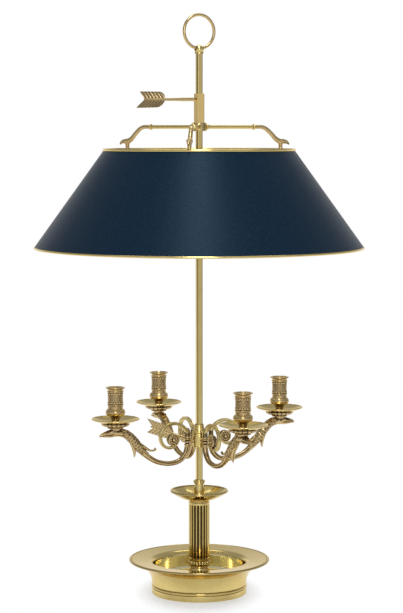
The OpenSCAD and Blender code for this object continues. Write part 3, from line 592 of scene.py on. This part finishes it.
def makeSpiderRods():
    r, hub, end = rod["radius"], rod["hubR"], rod["end"]
    profile = [(0.01, hub - 3), (r, hub - 3), (r, hub), (r + 1.6, hub)]
    profile += [(x, y) for y, x in arc(hub + 1.5, r + 0.6, 1.4, 180 - 15, 15, 8)]
    profile += [(r + 0.9, hub + 3.2), (r + 0.8, hub + 5), (r + 0.4, hub + 5.8), (r + 0.35, hub + 30)]
    profile += [(r + 0.35, end - 5), (r + 0.6, end - 4.6), (r + 0.6, end - 3.2), (r + 0.2, end - 2.7)]
    profile += [(x, y) for y, x in arc(end - 1.3, r + 0.7, 1.3, 175, 5, 10)] + [(r, end), (0.01, end)]

    # the scribed line is darkened: painted shade
    def scribed(rr, z, a):
        return rr, z, 0.8 * (abs(z - end + 2.7) < 0.05)
    part = aboutX(turnedPart(profile, 48, scribed), (0, 0, midHeight("spider_hub")))
    addRound("spiderRod", "spider_rod", part, brass, "shade_carrier", spiderTurns)


def headSection(start, brow, mouth, grow=1.0, paintedShade=0.0):
    # a bird's head: a brow over each eye, and a mouth line that runs to the beak's tip
    def section(row, i, a):
        along = (row[0] - start) / (mouth - start)
        c, s = math.cos(a), math.sin(a)
        up, across, deep = row[2] * c, row[3] * s, 0.0
        if along > 0:
            ridge = math.exp(-((along - brow) / 0.16) ** 2) * (c > 0)
            ridge *= math.exp(-((abs(s) - 0.72) / 0.3) ** 2)
            line = math.exp(-((c + 0.30) / 0.13) ** 2) * ease((along - brow + 0.1) / 0.3)
            up += 0.9 * grow * ridge
            across *= (1 + 0.25 * ridge) * (1 - 0.32 * line)
            # the mouth line is darkened, and the top of the head behind the beak can be darkened too: painted
            # shade under the cup
            deep = max(0.95 * line, paintedShade * ease((c - 0.05) / 0.45) * ease((0.85 - along) / 0.2))
        return up, across, deep
    return section


def makeEyes(size, x, y, z, steps, sides):
    eye = turnedPart(arc(0, 0, size, -90, 90, steps), sides)
    return [placed(eye, (x, side * y, z)) for side in (-1, 1)]


clampPost = {"at": 135, "radius": 3.4, "beak": 14.5, "rise": 12}


def makeSpiderEnds():
    r, near = rod["radius"], rod["end"]
    post, body, beak, rise = clampPost.values()
    z, head, foot = midHeight("spider_hub"), midHeight("shade_top_bead") + rise, low("spider_end_1")[2]
    run = post - near
    # shares of the way to the post, drop, and half height and width in rod radii
    stations = [(near + share * run, z - drop, r * tall, r * wide) for share, drop, tall, wide in (
        (0, 0, 1.15, 1.15), (0.26, 0, 1.2, 1.2), (0.46, 3.4, 1.28, 1.28), (0.66, 11, 1.34, 1.34),
        (0.82, 18, 1.44, 1.44))]
    stations += [(post - 1, head + 0.4, r * 1.65, r * 1.8)]
    stations += [(post + share * beak, head + lift, r * tall, r * wide) for share, lift, tall, wide in (
        (0.35, 0.2, 1.45, 1.4), (0.75, -1.1, 1.0, 0.85), (1, -4.2, 0.35, 0.35))]
    bent = sweptPart(curve(stations, 10), headSection(post - 4, 0.2, post + beak), 32)
    profile = [(0.01, foot), (body, foot), (body, foot + 1.2)]
    for k in range(3):
        profile += arc(body - 0.6, foot + 2.2 + 2.2 * k, 1.1, -70, 70, 6)
    profile += [(body - 0.3, foot + 8.2), (body - 0.5, foot + 10), (body, head - 2.4), (body - 0.2, head + 1),
                (0.01, head + 1)]

    def knurl(rr, zz, a):
        # the knurl's grooves are darkened: painted shade
        deep = (0.5 - 0.5 * math.cos(20 * a)) * (foot + 1.2 < zz < foot + 7.8)
        return (rr - 0.25 * deep if rr > 1 else rr), zz, 0.7 * deep
    eyes = makeEyes(0.7, post + 0.16 * beak, r * 1.42, head + 1.2, 8, 16)
    part = joined(bent, placed(turnedPart(profile, 80, knurl), (post, 0, 0)), *eyes)
    addRound("spiderHead", "spider_end", part, oldBrass, "shade_carrier", spiderTurns, 45)


feathers = {"length": 43, "width": 29, "notch": 11, "thick": 1.6, "barb": 5.4, "shaft": 2.1}


def featherPart(front, far):
    # four grids of points, the two faces of each vane, sewn together along the vane's edge and its ends
    f = feathers
    half, rows, columns = f["width"] / 2, 64, 18
    wide = rows + 1
    grid = (columns + 1) * wide
    points, recess, faces = [], [], []
    for side in (-1, 1):
        for face in (1, -1):
            base = len(points)
            for j in range(columns + 1):
                v = j / columns
                bow = f["length"] * 0.30 * (1 - math.sqrt(max(0, 1 - (v * 0.985) ** 2)))
                for i in range(wide):
                    x = mix(front + bow, far - f["notch"] * (1 - v), i / rows)
                    saw = abs(2 * (((x - f["notch"] * v) / f["barb"]) % 1) - 1)
                    ragged = 1 - 0.035 * (1 - saw) * (j == columns)
                    y = v * half * (0.95 + 0.05 * ease((x - front) / f["length"])) * ragged
                    barb = (1 - saw) ** 3 * min(1, v * 6)
                    quill = math.exp(-(v / 0.10) ** 2)
                    points.append((x, side * y, face * (f["thick"] / 2 * mix(1, 0.6, v) * (1 - 0.65 * barb)
                                                        + 0.5 * quill)))
                    # the grooves between barbs are painted shade, and the vane gets slightly darker towards
                    # its edge
                    recess.append(0.85 * barb + 0.1 * v)
            for j in range(columns):
                for i in range(rows):
                    a, b = base + j * wide + i, base + (j + 1) * wide + i
                    faces.append((a, a + 1, b + 1, b)[::side * face])
        last = base + columns * wide
        for i in range(rows):
            a, b = last - grid + i, last + i
            faces.append((a, a + 1, b + 1, b) if side > 0 else (b, b + 1, a + 1, a))
        for j in range(columns):
            a = base + j * wide
            b = a + rows
            faces += [(b - grid, b, b + wide, b + wide - grid), (a, a - grid, a + wide - grid, a + wide)]
    return points, faces, recess


def arrowPart(near, far, thickTo, screw=2.7, spare=1):
    # a thumb screw in the shape of a feathered arrow, its point end screwed in at near
    shaft, front, end = feathers["shaft"], far - feathers["length"], far - feathers["notch"] + spare
    stem = [(0.01, near), (screw, near), (screw, thickTo), (mix(screw, shaft, 0.6), thickTo + 6),
            (shaft, front - 6), (shaft * 0.96, front - 1), (shaft * 0.96, front + 6), (shaft * 0.8, end - 6),
            (shaft * 0.55, end), (0.01, end)]
    return joined(featherPart(front, far), aboutX(turnedPart(densify(stem, 4), 32)))


def makeArrow(name, node, part, lift, slope, roll):
    turn = rotation(135, "Z") @ rotation(-slope, "Y") @ rotation(roll + 90, "X")
    addPiece(name, placed(part, (0, 0, lift), turn), oldBrass, node, node, 40)


makeShade()
makeWireRing("shadeTopWire", "shade_top_bead", shadeShape["topBeadR"])
makeWireRing("shadeBottomWire", "shade_bottom_bead", shadeShape["bottomBeadR"])
makeSleeve()
makeSpiderHub()
makeSpiderRods()
makeSpiderEnds()
makeArrow("upperArrow", "carrier_arrow", arrowPart(5.9, 96.5, 25.8), high("sleeve")[2] - 8.5, 0, 31)
print("shade and carrier ready")

# the candle cluster: a hub, four arms and what they carry

hubMiddle = low("hub")[2] + 10.25
armTurns = {i: math.radians(90 * (i - 1)) for i in arms}


def makeOnArms(name, node, part, look, sharp=40):
    addRound(name, node, part, look, "candle_cluster", armTurns, sharp)


clusterHub = {"radius": 10.4, "straight": 20.5, "bore": 6.1}


def makeHub():
    bottom, top = span("hub")
    r, straight, bore = clusterHub.values()
    z = bottom + straight
    profile = [(bore, bottom), (r - 1.2, bottom), (r - 0.2, bottom + 0.5), (r, bottom + 1.4),
               (r - 0.5, bottom + 2.2), (r - 0.5, bottom + 3.2), (r, bottom + 4), (r, z - 4),
               (r - 0.5, z - 3.2), (r - 0.5, z - 2.2), (r, z - 1.4), (r - 0.2, z), (r - 1, z + 0.6)]
    profile += arc(r - 1, z + 2.1, 1.3, -70, 70, 8)
    profile += [(r - 1.6, z + 4), (r - 2.1, z + 4.6), (r - 3.2, top - 3), (bore + 0.8, top), (bore, top)]
    addPiece("clusterHub", turnedPart(profile, 96), brass, "candle_cluster", "hub")


armShape = {
    "rootAt": 20, "rootDrop": 7, "rootH": 12, "rootR": 5, "bendAt": 52, "reach": 138.5, "drop": 32,
    "seatRise": 27, "tubeR": 3.7, "neckR": 7, "beak": 25.5, "reeds": 5, "reedDepth": 0.9, "scaleLong": 4.6,
    "scales": 9, "scaleDepth": 0.8,
}


def armStations():
    # the arm's middle line, each point with its half height and half width
    s = armShape
    root, bend, reach, beak = s["rootAt"], s["bendAt"], s["reach"], s["beak"]
    tube, neck = s["tubeR"], s["neckR"]
    rootZ, bendZ, seatZ = hubMiddle - s["rootDrop"], hubMiddle - s["drop"], hubMiddle + s["seatRise"]
    run, rise, headZ = reach - bend, seatZ - bendZ, seatZ - 6.4
    rows = [(root, rootZ + 2, tube * 1.2, tube * 1.2), (root, rootZ - 4, tube * 1.2, tube * 1.2)]
    rows += [(mix(root, bend, u), mix(rootZ, bendZ, v), tube * size, tube * size)
             for u, v, size in ((0.13, 0.56, 1.14), (0.45, 0.9, 1.05))]
    rows += [(bend + u * run, bendZ + v * rise, tube * size, tube * size)
             for u, v, size in ((0, 0, 1), (0.23, 0.08, 1.05), (0.41, 0.245, 1.18))]
    rows += [(bend + u * run, bendZ + v * rise, neck * tall, neck * wide) for u, v, tall, wide in (
        (0.52, 0.405, 0.86, 0.84), (0.6, 0.54, 1, 1), (0.7, 0.71, 0.98, 0.94), (0.81, 0.84, 0.9, 0.86))]
    rows += [(bend + 0.92 * run, mix(bendZ, headZ, 0.985), neck * 0.8, neck * 0.86)]
    rows += [(reach + u * beak, headZ - fall, neck * tall, neck * wide) for u, fall, tall, wide in (
        (0.08, 0.2, 0.84, 0.9), (0.36, 1.0, 0.82, 0.72), (0.66, 1.9, 0.60, 0.46), (0.90, 3.0, 0.36, 0.28),
        (1, 4.8, 0.13, 0.12))]
    return rows


def lineLengths(line):
    lengths = [0.0]
    for a, b in zip(line, line[1:]):
        lengths.append(lengths[-1] + math.dist(a[:2], b[:2]))
    return lengths


def leafPart(stations, lobes, steps=8, sides=20):
    # a chased leaf: hollow along its midrib, its edges lobed; the midrib is darkened: painted shade
    line = curve(stations, steps)

    def section(row, i, a):
        c, s = math.cos(a), math.sin(a)
        edge = 1 + lobes * math.sin(i / (len(line) - 1) * math.pi * 5) * abs(s) ** 3
        rib = math.exp(-(s / 0.22) ** 2)
        return row[2] * c * (1 - 0.45 * rib), row[3] * s * edge, 0.7 * rib
    return sweptPart(line, section, sides)


def armCasting():
    # a reeded tube that grows into a scaled neck and an eagle's head
    s = armShape
    line = curve(armStations(), 16)
    along, headFrom = lineLengths(line), s["reach"] - 9
    neckStart = next(i for i, row in enumerate(line) if row[0] > mix(s["bendAt"], s["reach"], 0.44))
    headStart = next(i for i, row in enumerate(line) if row[0] > headFrom)
    head = headSection(headFrom, 0.34, s["reach"] + s["beak"], 1.3, 0.8)

    # the valleys between reeds and the lower edge of each scale are darkened: painted shade
    def section(row, i, a):
        c, w = math.cos(a), math.sin(a)
        if i >= headStart:
            return head(row, i, a)
        if i < neckStart:
            valley = (1 - abs(math.sin(s["reeds"] * a / 2))) ** 1.7
            deep = s["reedDepth"] * valley * ease((along[i] - 2) / 3)
            return (row[2] - deep) * c, (row[3] - deep) * w, min(1, 1.15 * valley)
        # rows of overlapping scales, each row set half a scale round
        down = along[i] - along[neckStart]
        tier = math.floor(down / s["scaleLong"])
        turn = (s["scales"] * a / (2 * math.pi) + 0.5 * (tier % 2)) % 1
        lift = ((down / s["scaleLong"] - tier + 0.42 * abs(2 * turn - 1) ** 2) % 1) ** 0.8
        fade = ease(down / 3)
        deep = s["scaleDepth"] * (1 - lift) * fade - 0.3
        return (row[2] - deep) * c, (row[3] - deep) * w, (1 - lift) ** 1.6 * fade
    return sweptPart(line, section, 72)


def armRoot():
    # stacked rings at the root, and the tenon into the hub
    s = armShape
    root, foot, r = s["rootAt"], hubMiddle - s["rootDrop"], s["rootR"]
    stack = [(0.01, foot)]
    for k in range(3):
        middle = foot + 1.5 + 4.3 * k
        stack += arc(r - 1.3, middle, 1.3, -75, 75, 8)
        if k < 2:
            stack += [(r - 1.4, middle + 1.5), (r - 1.4, middle + 2.7)]
    stack += [(0.01, foot + s["rootH"])]
    # the grooves between the rings are darkened: painted shade
    rings = turnedPart(stack, 48, lambda rr, z, a: (rr, z, 0.9 if 3.5 < rr < 3.65 else 0.0))
    tenon = [(0.01, 7.5), (2.4, 7.5), (2.4, 10.4), (4, 10.5), (4.2, 11.4), (3.3, 12.4), (3.0, root),
             (0.01, root)]
    return [placed(rings, (root, 0, 0)), aboutX(turnedPart(tenon, 32), (0, 0, hubMiddle))]


def armLeaves():
    # acanthus leaves where the reeded tube enters the neck
    s = armShape
    bend, reach, bendZ, seatZ = s["bendAt"], s["reach"], hubMiddle - s["drop"], hubMiddle + s["seatRise"]
    mid = mix(bendZ, seatZ, 0.5)
    curled = ((0.50, 0.8, 2.6, 3.6), (0.42, -4.4, 2.4, 3.4), (0.34, -7.8, 1.6, 2.8), (0.28, -8.0, 1.4, 2.4),
              (0.245, -6.2, 1.6, 2.2), (0.262, -4.6, 0.9, 1.3))
    hanging = ((0.745, 8.6, 0.9, 1.6), (0.70, 2.8, 1.4, 3.2), (0.664, -2.8, 2.2, 3.5),
               (0.645, -8.2, 2.2, 2.8), (0.645, -12.4, 1.5, 1.9), (0.652, -15.8, 0.6, 0.8))
    leaves = [leafPart([(mix(bend, reach, u), mid + up, tall, wide) for u, up, tall, wide in rows], lobes)
              for rows, lobes in ((curled, 0.15), (hanging, 0.12))]
    for side in (-1, 1):
        for start, rise, grow in ((0.50, 0.37, 1.0), (0.60, 0.53, 0.8)):
            leaf = leafPart([(0, 0, 1.0, 1.2), (-5 * grow, 0.4, 1.3, 3.2 * grow),
                             (-10 * grow, 0.2, 1.1, 2.6 * grow), (-14.5 * grow, 0.9, 0.4, 0.5)], 0.22)
            leaves.append(placed(leaf, (mix(bend, reach, start), side * 5.0, mix(bendZ, seatZ, rise)),
                                 rotation(-38, "Y") @ rotation(side * 88, "X")))
    return leaves


def armSeat():
    # the seat under the cup, a crest of feathers behind it and the eyes
    reach, z, neck = armShape["reach"], hubMiddle + armShape["seatRise"], armShape["neckR"]
    seat = [(0.01, z - 7), (neck - 0.6, z - 7), (neck + 0.2, z - 5), (neck - 0.4, z - 3.4),
            (neck + 0.6, z - 2), (neck + 0.6, z - 0.4), (neck + 0.2, z), (0.01, z)]
    # the seat's lower rings are darkened, and the rest lightly: painted shade under the cup
    seat = turnedPart(seat, 64, lambda r, h, a: (r, h, 0.85 if r > neck - 0.7 and h < z - 2.5 else 0.15))
    parts = [placed(seat, (reach, 0, 0))]
    feather = leafPart([(0, 0, 1.0, 1.5), (-3, 0.9, 1.0, 1.9), (-6.5, 1.1, 0.4, 0.6)], 0.1, 5, 12)
    for k in range(5):
        turn = -50 + 25 * k
        a = math.radians(turn)
        place = (reach - 7 - 1.2 * abs(k - 2), -math.sin(a) * 6.2, z - 7.6 + math.cos(a) * 5.2)
        parts.append(placed(feather, place, rotation(turn, "X") @ rotation(-8, "Y")))
    return parts + makeEyes(1.25, reach + 6.5, neck * 0.80, z - 5.2, 10, 20)


def makeArms():
    casting, (rings, tenon) = armCasting(), armRoot()
    arm = joined(casting, rings, tenon, *armLeaves(), *armSeat())
    makeOnArms("candleArm", "arm", arm, oldBrass, 42)


# the coil's angles run from start to end, and from easeFrom on it tightens to the rosette
scrollShape = {
    "radius": 24.3, "at": 43.5, "rise": 3, "thick": 5.0, "rosette": 9.2, "start": 159, "easeFrom": 60,
    "end": -150, "steps": 120,
}


def scrollReach(a):
    s = scrollShape
    if a > s["easeFrom"]:
        return mix(s["radius"] + 0.9, s["radius"], (s["start"] - a) / (s["start"] - s["easeFrom"]))
    return mix(s["radius"], s["rosette"] * 0.7, ease((s["easeFrom"] - a) / (s["easeFrom"] - s["end"])))


def makeScrolls():
    s, steps = scrollShape, scrollShape["steps"]
    line = []
    for i in range(steps + 1):
        a = mix(s["start"], s["end"], i / steps)
        r, half, turn = scrollReach(a), s["thick"] / 2 * mix(1.12, 0.92, i / steps), math.radians(a)
        x, z = s["at"] + r * math.cos(turn), hubMiddle + s["rise"] + r * math.sin(turn)
        line.append((x, z, half, half * 1.12))

    def band(row, i, a):
        # a flat band with a raised bead along each edge and a sunk middle; the sunk middle and the band's
        # sides are darkened: painted shade
        c, w = math.cos(a), math.sin(a)
        sunk, side = math.exp(-(w / 0.42) ** 4), math.exp(-(c / 0.26) ** 2)
        up = row[2] * math.copysign(abs(c) ** 0.55, c) * (1 - 0.22 * sunk)
        across = row[3] * math.copysign(abs(w) ** 0.55, w) * (1 - 0.14 * side)
        return up, across, 0.15 * sunk + 0.30 * side
    top, (x, z) = hubMiddle - armShape["rootDrop"] + armShape["rootH"], line[0][:2]
    post = [(0.01, top), (4.4, top), (4.4, top + 1.2), (3.7, top + 2), (3.7, z + 0.8), (3.0, z + 1.5),
            (0.01, z + 1.5)]
    # the post's ring is darkened, and the rest lightly: painted shade
    post = turnedPart(densify(post, 1.0), 40, lambda rr, zz, a: (rr, zz, 0.75 if 3.4 < rr < 4.0 else 0.1))
    part = joined(sweptPart(line, band, 48), placed(post, (x, 0, 0)))
    makeOnArms("scroll", "scroll", part, rubbedBrass, 50)


rosette = {"thick": 8.0, "petals": 10}


def makeRosettes():
    # a button with a raised rim, a ring of small petals and a boss in the middle
    s, r = scrollShape, scrollShape["rosette"]
    face = rosette["thick"] * 0.36
    half = [(0.01, face + 1.7), (r * 0.14, face + 1.6), (r * 0.25, face + 1.0), (r * 0.30, face - 0.5)]
    half += [(r * mix(0.34, 0.72, i / 10), face - 0.3) for i in range(11)] + [(r * 0.75, face - 0.5)]
    half += arc(r * 0.88, face, r * 0.12, 150, -60, 12)

    # the ring round the boss, the gaps between petals and the rim's sides are darkened: painted shade
    def flower(rr, z, a):
        share = rr / r
        if share < 0.31:
            return rr, z, 0.95 * (share > 0.27)
        if share < 0.76:
            petal = abs(math.cos(rosette["petals"] * a / 2)) ** 0.6 * math.exp(-((share - 0.55) / 0.16) ** 2)
            return rr, z + math.copysign(0.9, z) * petal, 0.9 * (1 - petal) ** 1.2
        return rr, z, 0.75 * (abs(z) < face - 0.6)
    profile = [(rr, -z) for rr, z in half] + [(r * 0.93, -1.4), (r * 0.93, 1.4)] + half[::-1]
    part = placed(turnedPart(profile, 120, flower), (s["at"], 0, hubMiddle + s["rise"]), rotation(90, "X"))
    makeOnArms("rosette", "rosette", part, oldBrass, 50)


cup = {
    "socketR": 10, "socketDeep": 25, "wall": 1.2, "height": 52, "lip": 3.2, "bulb": 3.4, "bulbZ": 15,
    "stalk": 6.2, "panR": 35.6, "panH": 7.5, "panT": 1.6, "scallops": 16, "underR": 21, "underH": 7.5,
    "ringR": 12, "lattice": 14, "latticeDeep": 0.16, "gadroons": 18, "pearls": 16,
}


def onSeat(part, lift=0):
    return placed(part, (armShape["reach"], 0, hubMiddle + armShape["seatRise"] + lift))


def makeUnderCups():
    c = cup
    ring, rim, top, hole, quarter = c["ringR"], c["underR"], c["underH"] - 0.2, 2.3, 15
    turns = [math.radians(90 * k / quarter) for k in range(1, quarter + 1)]
    profile = [(hole, 0), (ring - 1.0, 0), (ring - 0.2, 0.3), (ring, 0.9), (ring - 0.3, 1.6),
               (ring - 1.4, 2.0), (ring - 1.2, 2.5)]
    profile += [(mix(ring - 0.6, rim, math.sin(a)), mix(2.6, top - 0.6, 1 - math.cos(a))) for a in turns]
    profile += [(rim, top), (hole, top)]

    def gadroon(r, z, a):
        # lobes that swell to the rim, with a painted shade dot between each two and a painted shade line
        # under the ring
        if r < ring - 0.5 or z < 2.55 or z > top - 0.1:
            return r, z, (0.8 if 1.9 < z < 2.55 else 0.1)
        out = (r - ring) / (rim - ring)
        gap = 1 - abs(math.cos(c["gadroons"] * a / 2)) ** 0.6
        return r - 0.9 * gap * ease(out * 2), z + 0.3 * gap, 0.95 * gap * ease(out * 3)
    makeOnArms("underCup", "under_cup", onSeat(turnedPart(profile, 216, gadroon)), oldBrass, 50)


def makeCandlePans():
    c = cup
    edge, thick, outer = c["panT"] * 0.6, c["panT"], c["panR"]
    hole, rim, lineR = 2.25, c["panH"] - edge - thick / 2, outer - 2 * edge - 0.5
    under = dish(c["underR"] * 0.6, outer - edge, rim, 20)
    profile = [(hole, -0.2)] + under[:-1] + arc(outer - edge, rim + thick / 2, edge, -75, 160, 14)
    profile += [(lineR, rim + thick - 0.45)] + [(r - 0.2, z + thick) for r, z in reversed(under[:-1])]
    profile += [(hole, thick)]

    def scalloped(r, z, a):
        # the rim waves gently, with a line scribed inside it and darkened: painted shade
        wave = 0.45 * (abs(math.sin(c["scallops"] * a / 2)) - 1) * ease((r - outer + 6) / 6)
        return r + wave, z + 0.3 * wave, 0.8 if abs(r - lineR) < 0.05 else 0.0
    pan = onSeat(turnedPart(profile, 192, scalloped), c["underH"])
    makeOnArms("candlePan", "candle_pan", pan, brass)


def makeCandleCups():
    c = cup
    bore, height, stalk, bulbZ = c["socketR"], c["height"], c["stalk"], c["bulbZ"]
    body = bore + c["wall"]
    floor, lip = height - c["socketDeep"], body + c["lip"]
    ring1, ring2 = floor - 1, height - 6.2
    profile = [(0.01, 0), (stalk + 0.9, 0), (stalk + 1.2, 0.4), (stalk + 1.0, 1.0), (stalk - 0.2, 1.6),
               (stalk * 0.92, bulbZ - 12), (stalk, bulbZ - 10), (stalk + 1.2, bulbZ - 8),
               (stalk + 2.8, bulbZ - 6.2)]
    profile += arc(body - 2, bulbZ, c["bulb"] + 2, -75, 68, 22)
    profile += [(body - 0.3, ring1 - 2.2), (body - 0.1, ring1 - 1.4)]
    profile += arc(body - 0.1, ring1, 1.0, -80, 80, 8)
    profile += [(body, ring1 + 1.2)] + [(body, mix(ring1 + 1.6, ring2 - 1.6, i / 44)) for i in range(45)]
    profile += [(body, ring2 - 1.2)] + arc(body, ring2, 1.0, -80, 80, 8) + [(body, ring2 + 1.2)]
    profile += [(mix(body, lip, (k / 10) ** 2), mix(ring2 + 1.6, height - 1.1, k / 10)) for k in range(1, 11)]
    profile += [(lip - 0.1, height - 0.3), (lip - 0.5, height), (bore + 1.7, height - 0.1),
                (bore + 0.2, height - 2.4), (bore, height - 3.2), (bore, floor), (0.01, floor)]

    def chased(r, z, a):
        around = a / (2 * math.pi)
        if ring1 + 1.4 < z < ring2 - 1.4 and abs(r - body) < 0.05:
            row = min((ring1 + 3.2, ring2 - 3.2), key=lambda level: abs(z - level))
            if abs(z - row) < 1.9:
                # a row of pearls inside each ring, with painted shade between them
                u = abs((c["pearls"] * around) % 1 - 0.5) * 2
                pearl = math.sqrt(max(0, 1 - ((z - row) / 1.7) ** 2 - (u / 0.85) ** 2))
                return r - 0.3 + 0.8 * pearl, z, 0.7 * (1 - pearl) ** 2
            # a fine net of crossing leaves between them, its lines and the whole band darkened: painted shade
            u, v = c["lattice"] * around, (z - ring1) / 6.2
            line = max(math.exp(-((((u + k * v) % 1) - 0.5) / 0.14) ** 2) for k in (-1, 1))
            return r - c["latticeDeep"] * line, z, 0.18 + 0.46 * line
        if bulbZ - 5 < z < bulbZ + 5 and r > body:
            return r, z, 0.0
        # dark lines beside the rings and the inside of the socket: painted shade
        near = min(abs(z - ring1 - 1.3), abs(z - ring2 + 1.3), abs(z - ring1 + 1.6))
        outside = 0.7 * math.exp(-(near / 0.5) ** 2) if bore + 0.5 < r < body + 0.5 else 0.0
        return r, z, outside + (0.5 if r <= bore and z < height - 4 else 0.0)
    part = onSeat(turnedPart(profile, 168, chased), c["underH"] + c["panT"])
    makeOnArms("candleCup", "candle_cup", part, oldBrass, 45)


makeHub()
makeArms()
makeScrolls()
makeRosettes()
makeUnderCups()
makeCandlePans()
makeCandleCups()
makeArrow("lowerArrow", "cluster_arrow", arrowPart(6.7, 86, 19.4, spare=5), hubMiddle - 4, 15, -33)
print("candle cluster ready")

# plain nodes keep their own shape

plainNodes = {"base_washer": steel, "base_nut": steel, "tie_rod": steel, "ring_eye": brass, "rim_lugs": brass,
              "clamp_screws": oldBrass}
for node, look in plainNodes.items():
    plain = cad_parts[node]
    plain.data.materials.clear()
    plain.data.materials.append(look)
    if look != steel:
        soften = plain.modifiers.new("soften", "BEVEL")
        soften.width, soften.segments, soften.limit_method = 0.0003, 2, "ANGLE"

# camera, light and floor

shot = {"azimuth": -27.2, "distance": 2.969, "height": 0.696, "pitch": 5.04, "side": 0.0035, "lens": 116.9}


def makeCamera():
    s = shot
    a, p = math.radians(s["azimuth"]), math.radians(s["pitch"])
    back = Vector((math.sin(a), -math.cos(a), 0))
    right = Vector((math.cos(a), math.sin(a), 0))
    data = bpy.data.cameras.new("camera")
    data.lens, data.sensor_width = s["lens"], 36
    camera = addObject("camera", data)
    camera.location = back * s["distance"] + right * s["side"] + Vector((0, 0, s["height"]))
    aim = -back * math.cos(p) - Vector((0, 0, math.sin(p)))
    camera.rotation_euler = aim.to_track_quat("-Z", "Y").to_euler()
    bpy.context.scene.camera = camera


softboxes = [
    # name, azimuth of the box as seen from the lamp, height, distance, width, depth, watts
    ("frontBox", -24, 1.25, 2.8, 0.9, 1.3, 11),
    ("topStrip", -27, 2.60, 0.75, 0.5, 1.6, 19),
    ("backTop", 150, 2.40, 1.0, 1.6, 0.8, 8),
]


def makeLights():
    for name, azimuth, height, distance, width, depth, watts in softboxes:
        data = bpy.data.lights.new(name, "AREA")
        data.shape, data.size, data.size_y, data.energy = "RECTANGLE", width, depth, watts
        light = addObject(name, data)
        a = math.radians(azimuth)
        light.location = (math.sin(a) * distance, -math.cos(a) * distance, height)
        light.rotation_euler = (Vector((0, 0, 0.4)) - light.location).to_track_quat("-Z", "Y").to_euler()


room = {
    # brightness of the walls from the camera's side round to behind the lamp
    "walls": ((0.0, 0.88), (0.10, 0.62), (0.24, 0.56), (0.36, 0.25), (0.62, 0.25), (0.74, 0.42), (0.82, 0.47),
              (0.93, 1.0)),
    "ceiling": (0.38, 0.39, 0.42), "table": (0.93, 0.92, 0.89),
    "climb": (0.0, 0.50), "drop": (-0.06, -0.24), "tilt": -0.12,
}


def makeWorld():
    # white paper behind the lamp, a dimmer room round the camera, a grey ceiling and a pale table
    world = bpy.data.worlds.new("studio")
    bpy.context.scene.world = world
    world.use_nodes = True
    tree = world.node_tree
    tree.nodes.clear()
    where = tree.nodes.new("ShaderNodeTexCoord").outputs["Generated"]
    a = math.radians(shot["azimuth"])
    facing = addNode(tree, "ShaderNodeVectorMath", {0: where, 1: (-math.sin(a), math.cos(a), 0)},
                     "DOT_PRODUCT").outputs["Value"]
    height = addNode(tree, "ShaderNodeSeparateXYZ", {0: where}).outputs["Z"]
    walls = addNode(tree, "ShaderNodeValToRGB", {"Fac": addRange(tree, facing, -1, 1, 0, 1)})
    stops = walls.color_ramp.elements
    while len(stops) < len(room["walls"]):
        stops.new(0.5)
    for stop, (place, grey) in zip(stops, room["walls"]):
        stop.position, stop.color = place, (grey, grey, grey, 1)
    climb = addRange(tree, height, *room["climb"], 0, 1)
    # the table's far half shines up higher than its near half
    lean = addNode(tree, "ShaderNodeMath", {0: facing, 1: room["tilt"], 2: height}, "MULTIPLY_ADD")
    drop = addRange(tree, lean.outputs[0], *room["drop"], 0, 1)
    roofed = addMix(tree, climb, walls.outputs["Color"], room["ceiling"])
    around = addNode(tree, "ShaderNodeBackground", {"Color": addMix(tree, drop, roofed, room["table"])})
    white = addNode(tree, "ShaderNodeBackground", {"Color": (1, 1, 1, 1)})
    ray = tree.nodes.new("ShaderNodeLightPath").outputs["Is Camera Ray"]
    pick = addNode(tree, "ShaderNodeMixShader", {0: ray, 1: around.outputs[0], 2: white.outputs[0]})
    addNode(tree, "ShaderNodeOutputWorld", {"Surface": pick.outputs[0]})


# the shadow's half width and its reach to the front, in metres; it fades between two shares of them
paper = {"colour": (0.91, 0.93, 0.97), "reach": (0.096, 0.155), "fade": (0.65, 1.02), "strength": 0.5,
         "radius": 1.6, "sides": 96}


def makeFloor():
    # a white disc that fades out, so that only the soft shadow shows
    turns = [2 * math.pi * k / paper["sides"] for k in range(paper["sides"])]
    mesh = bpy.data.meshes.new("floor")
    mesh.from_pydata([(paper["radius"] * math.cos(a), paper["radius"] * math.sin(a), 0) for a in turns], [],
                     [tuple(range(len(turns)))])
    material, tree, shader = newLook("paperFloor")
    where = tree.nodes.new("ShaderNodeTexCoord").outputs["Object"]
    spread = addNode(tree, "ShaderNodeVectorMath", {0: where, 1: (*paper["reach"], 1)}, "DIVIDE")
    far = addNode(tree, "ShaderNodeVectorMath", {0: spread.outputs[0]}, "LENGTH")
    fade = addRange(tree, far.outputs["Value"], *paper["fade"], paper["strength"], 0)
    plug(tree, shader, {"Base Color": (*paper["colour"], 1), "Roughness": 0.9, "Specular IOR Level": 0.1,
                        "Alpha": fade})
    mesh.materials.append(material)
    floor = addObject("floor", mesh)
    floor.rotation_euler[2] = math.radians(shot["azimuth"])


makeCamera()
makeLights()
makeWorld()
makeFloor()
bpy.context.scene.view_settings.view_transform = "Standard"
print("stage ready")
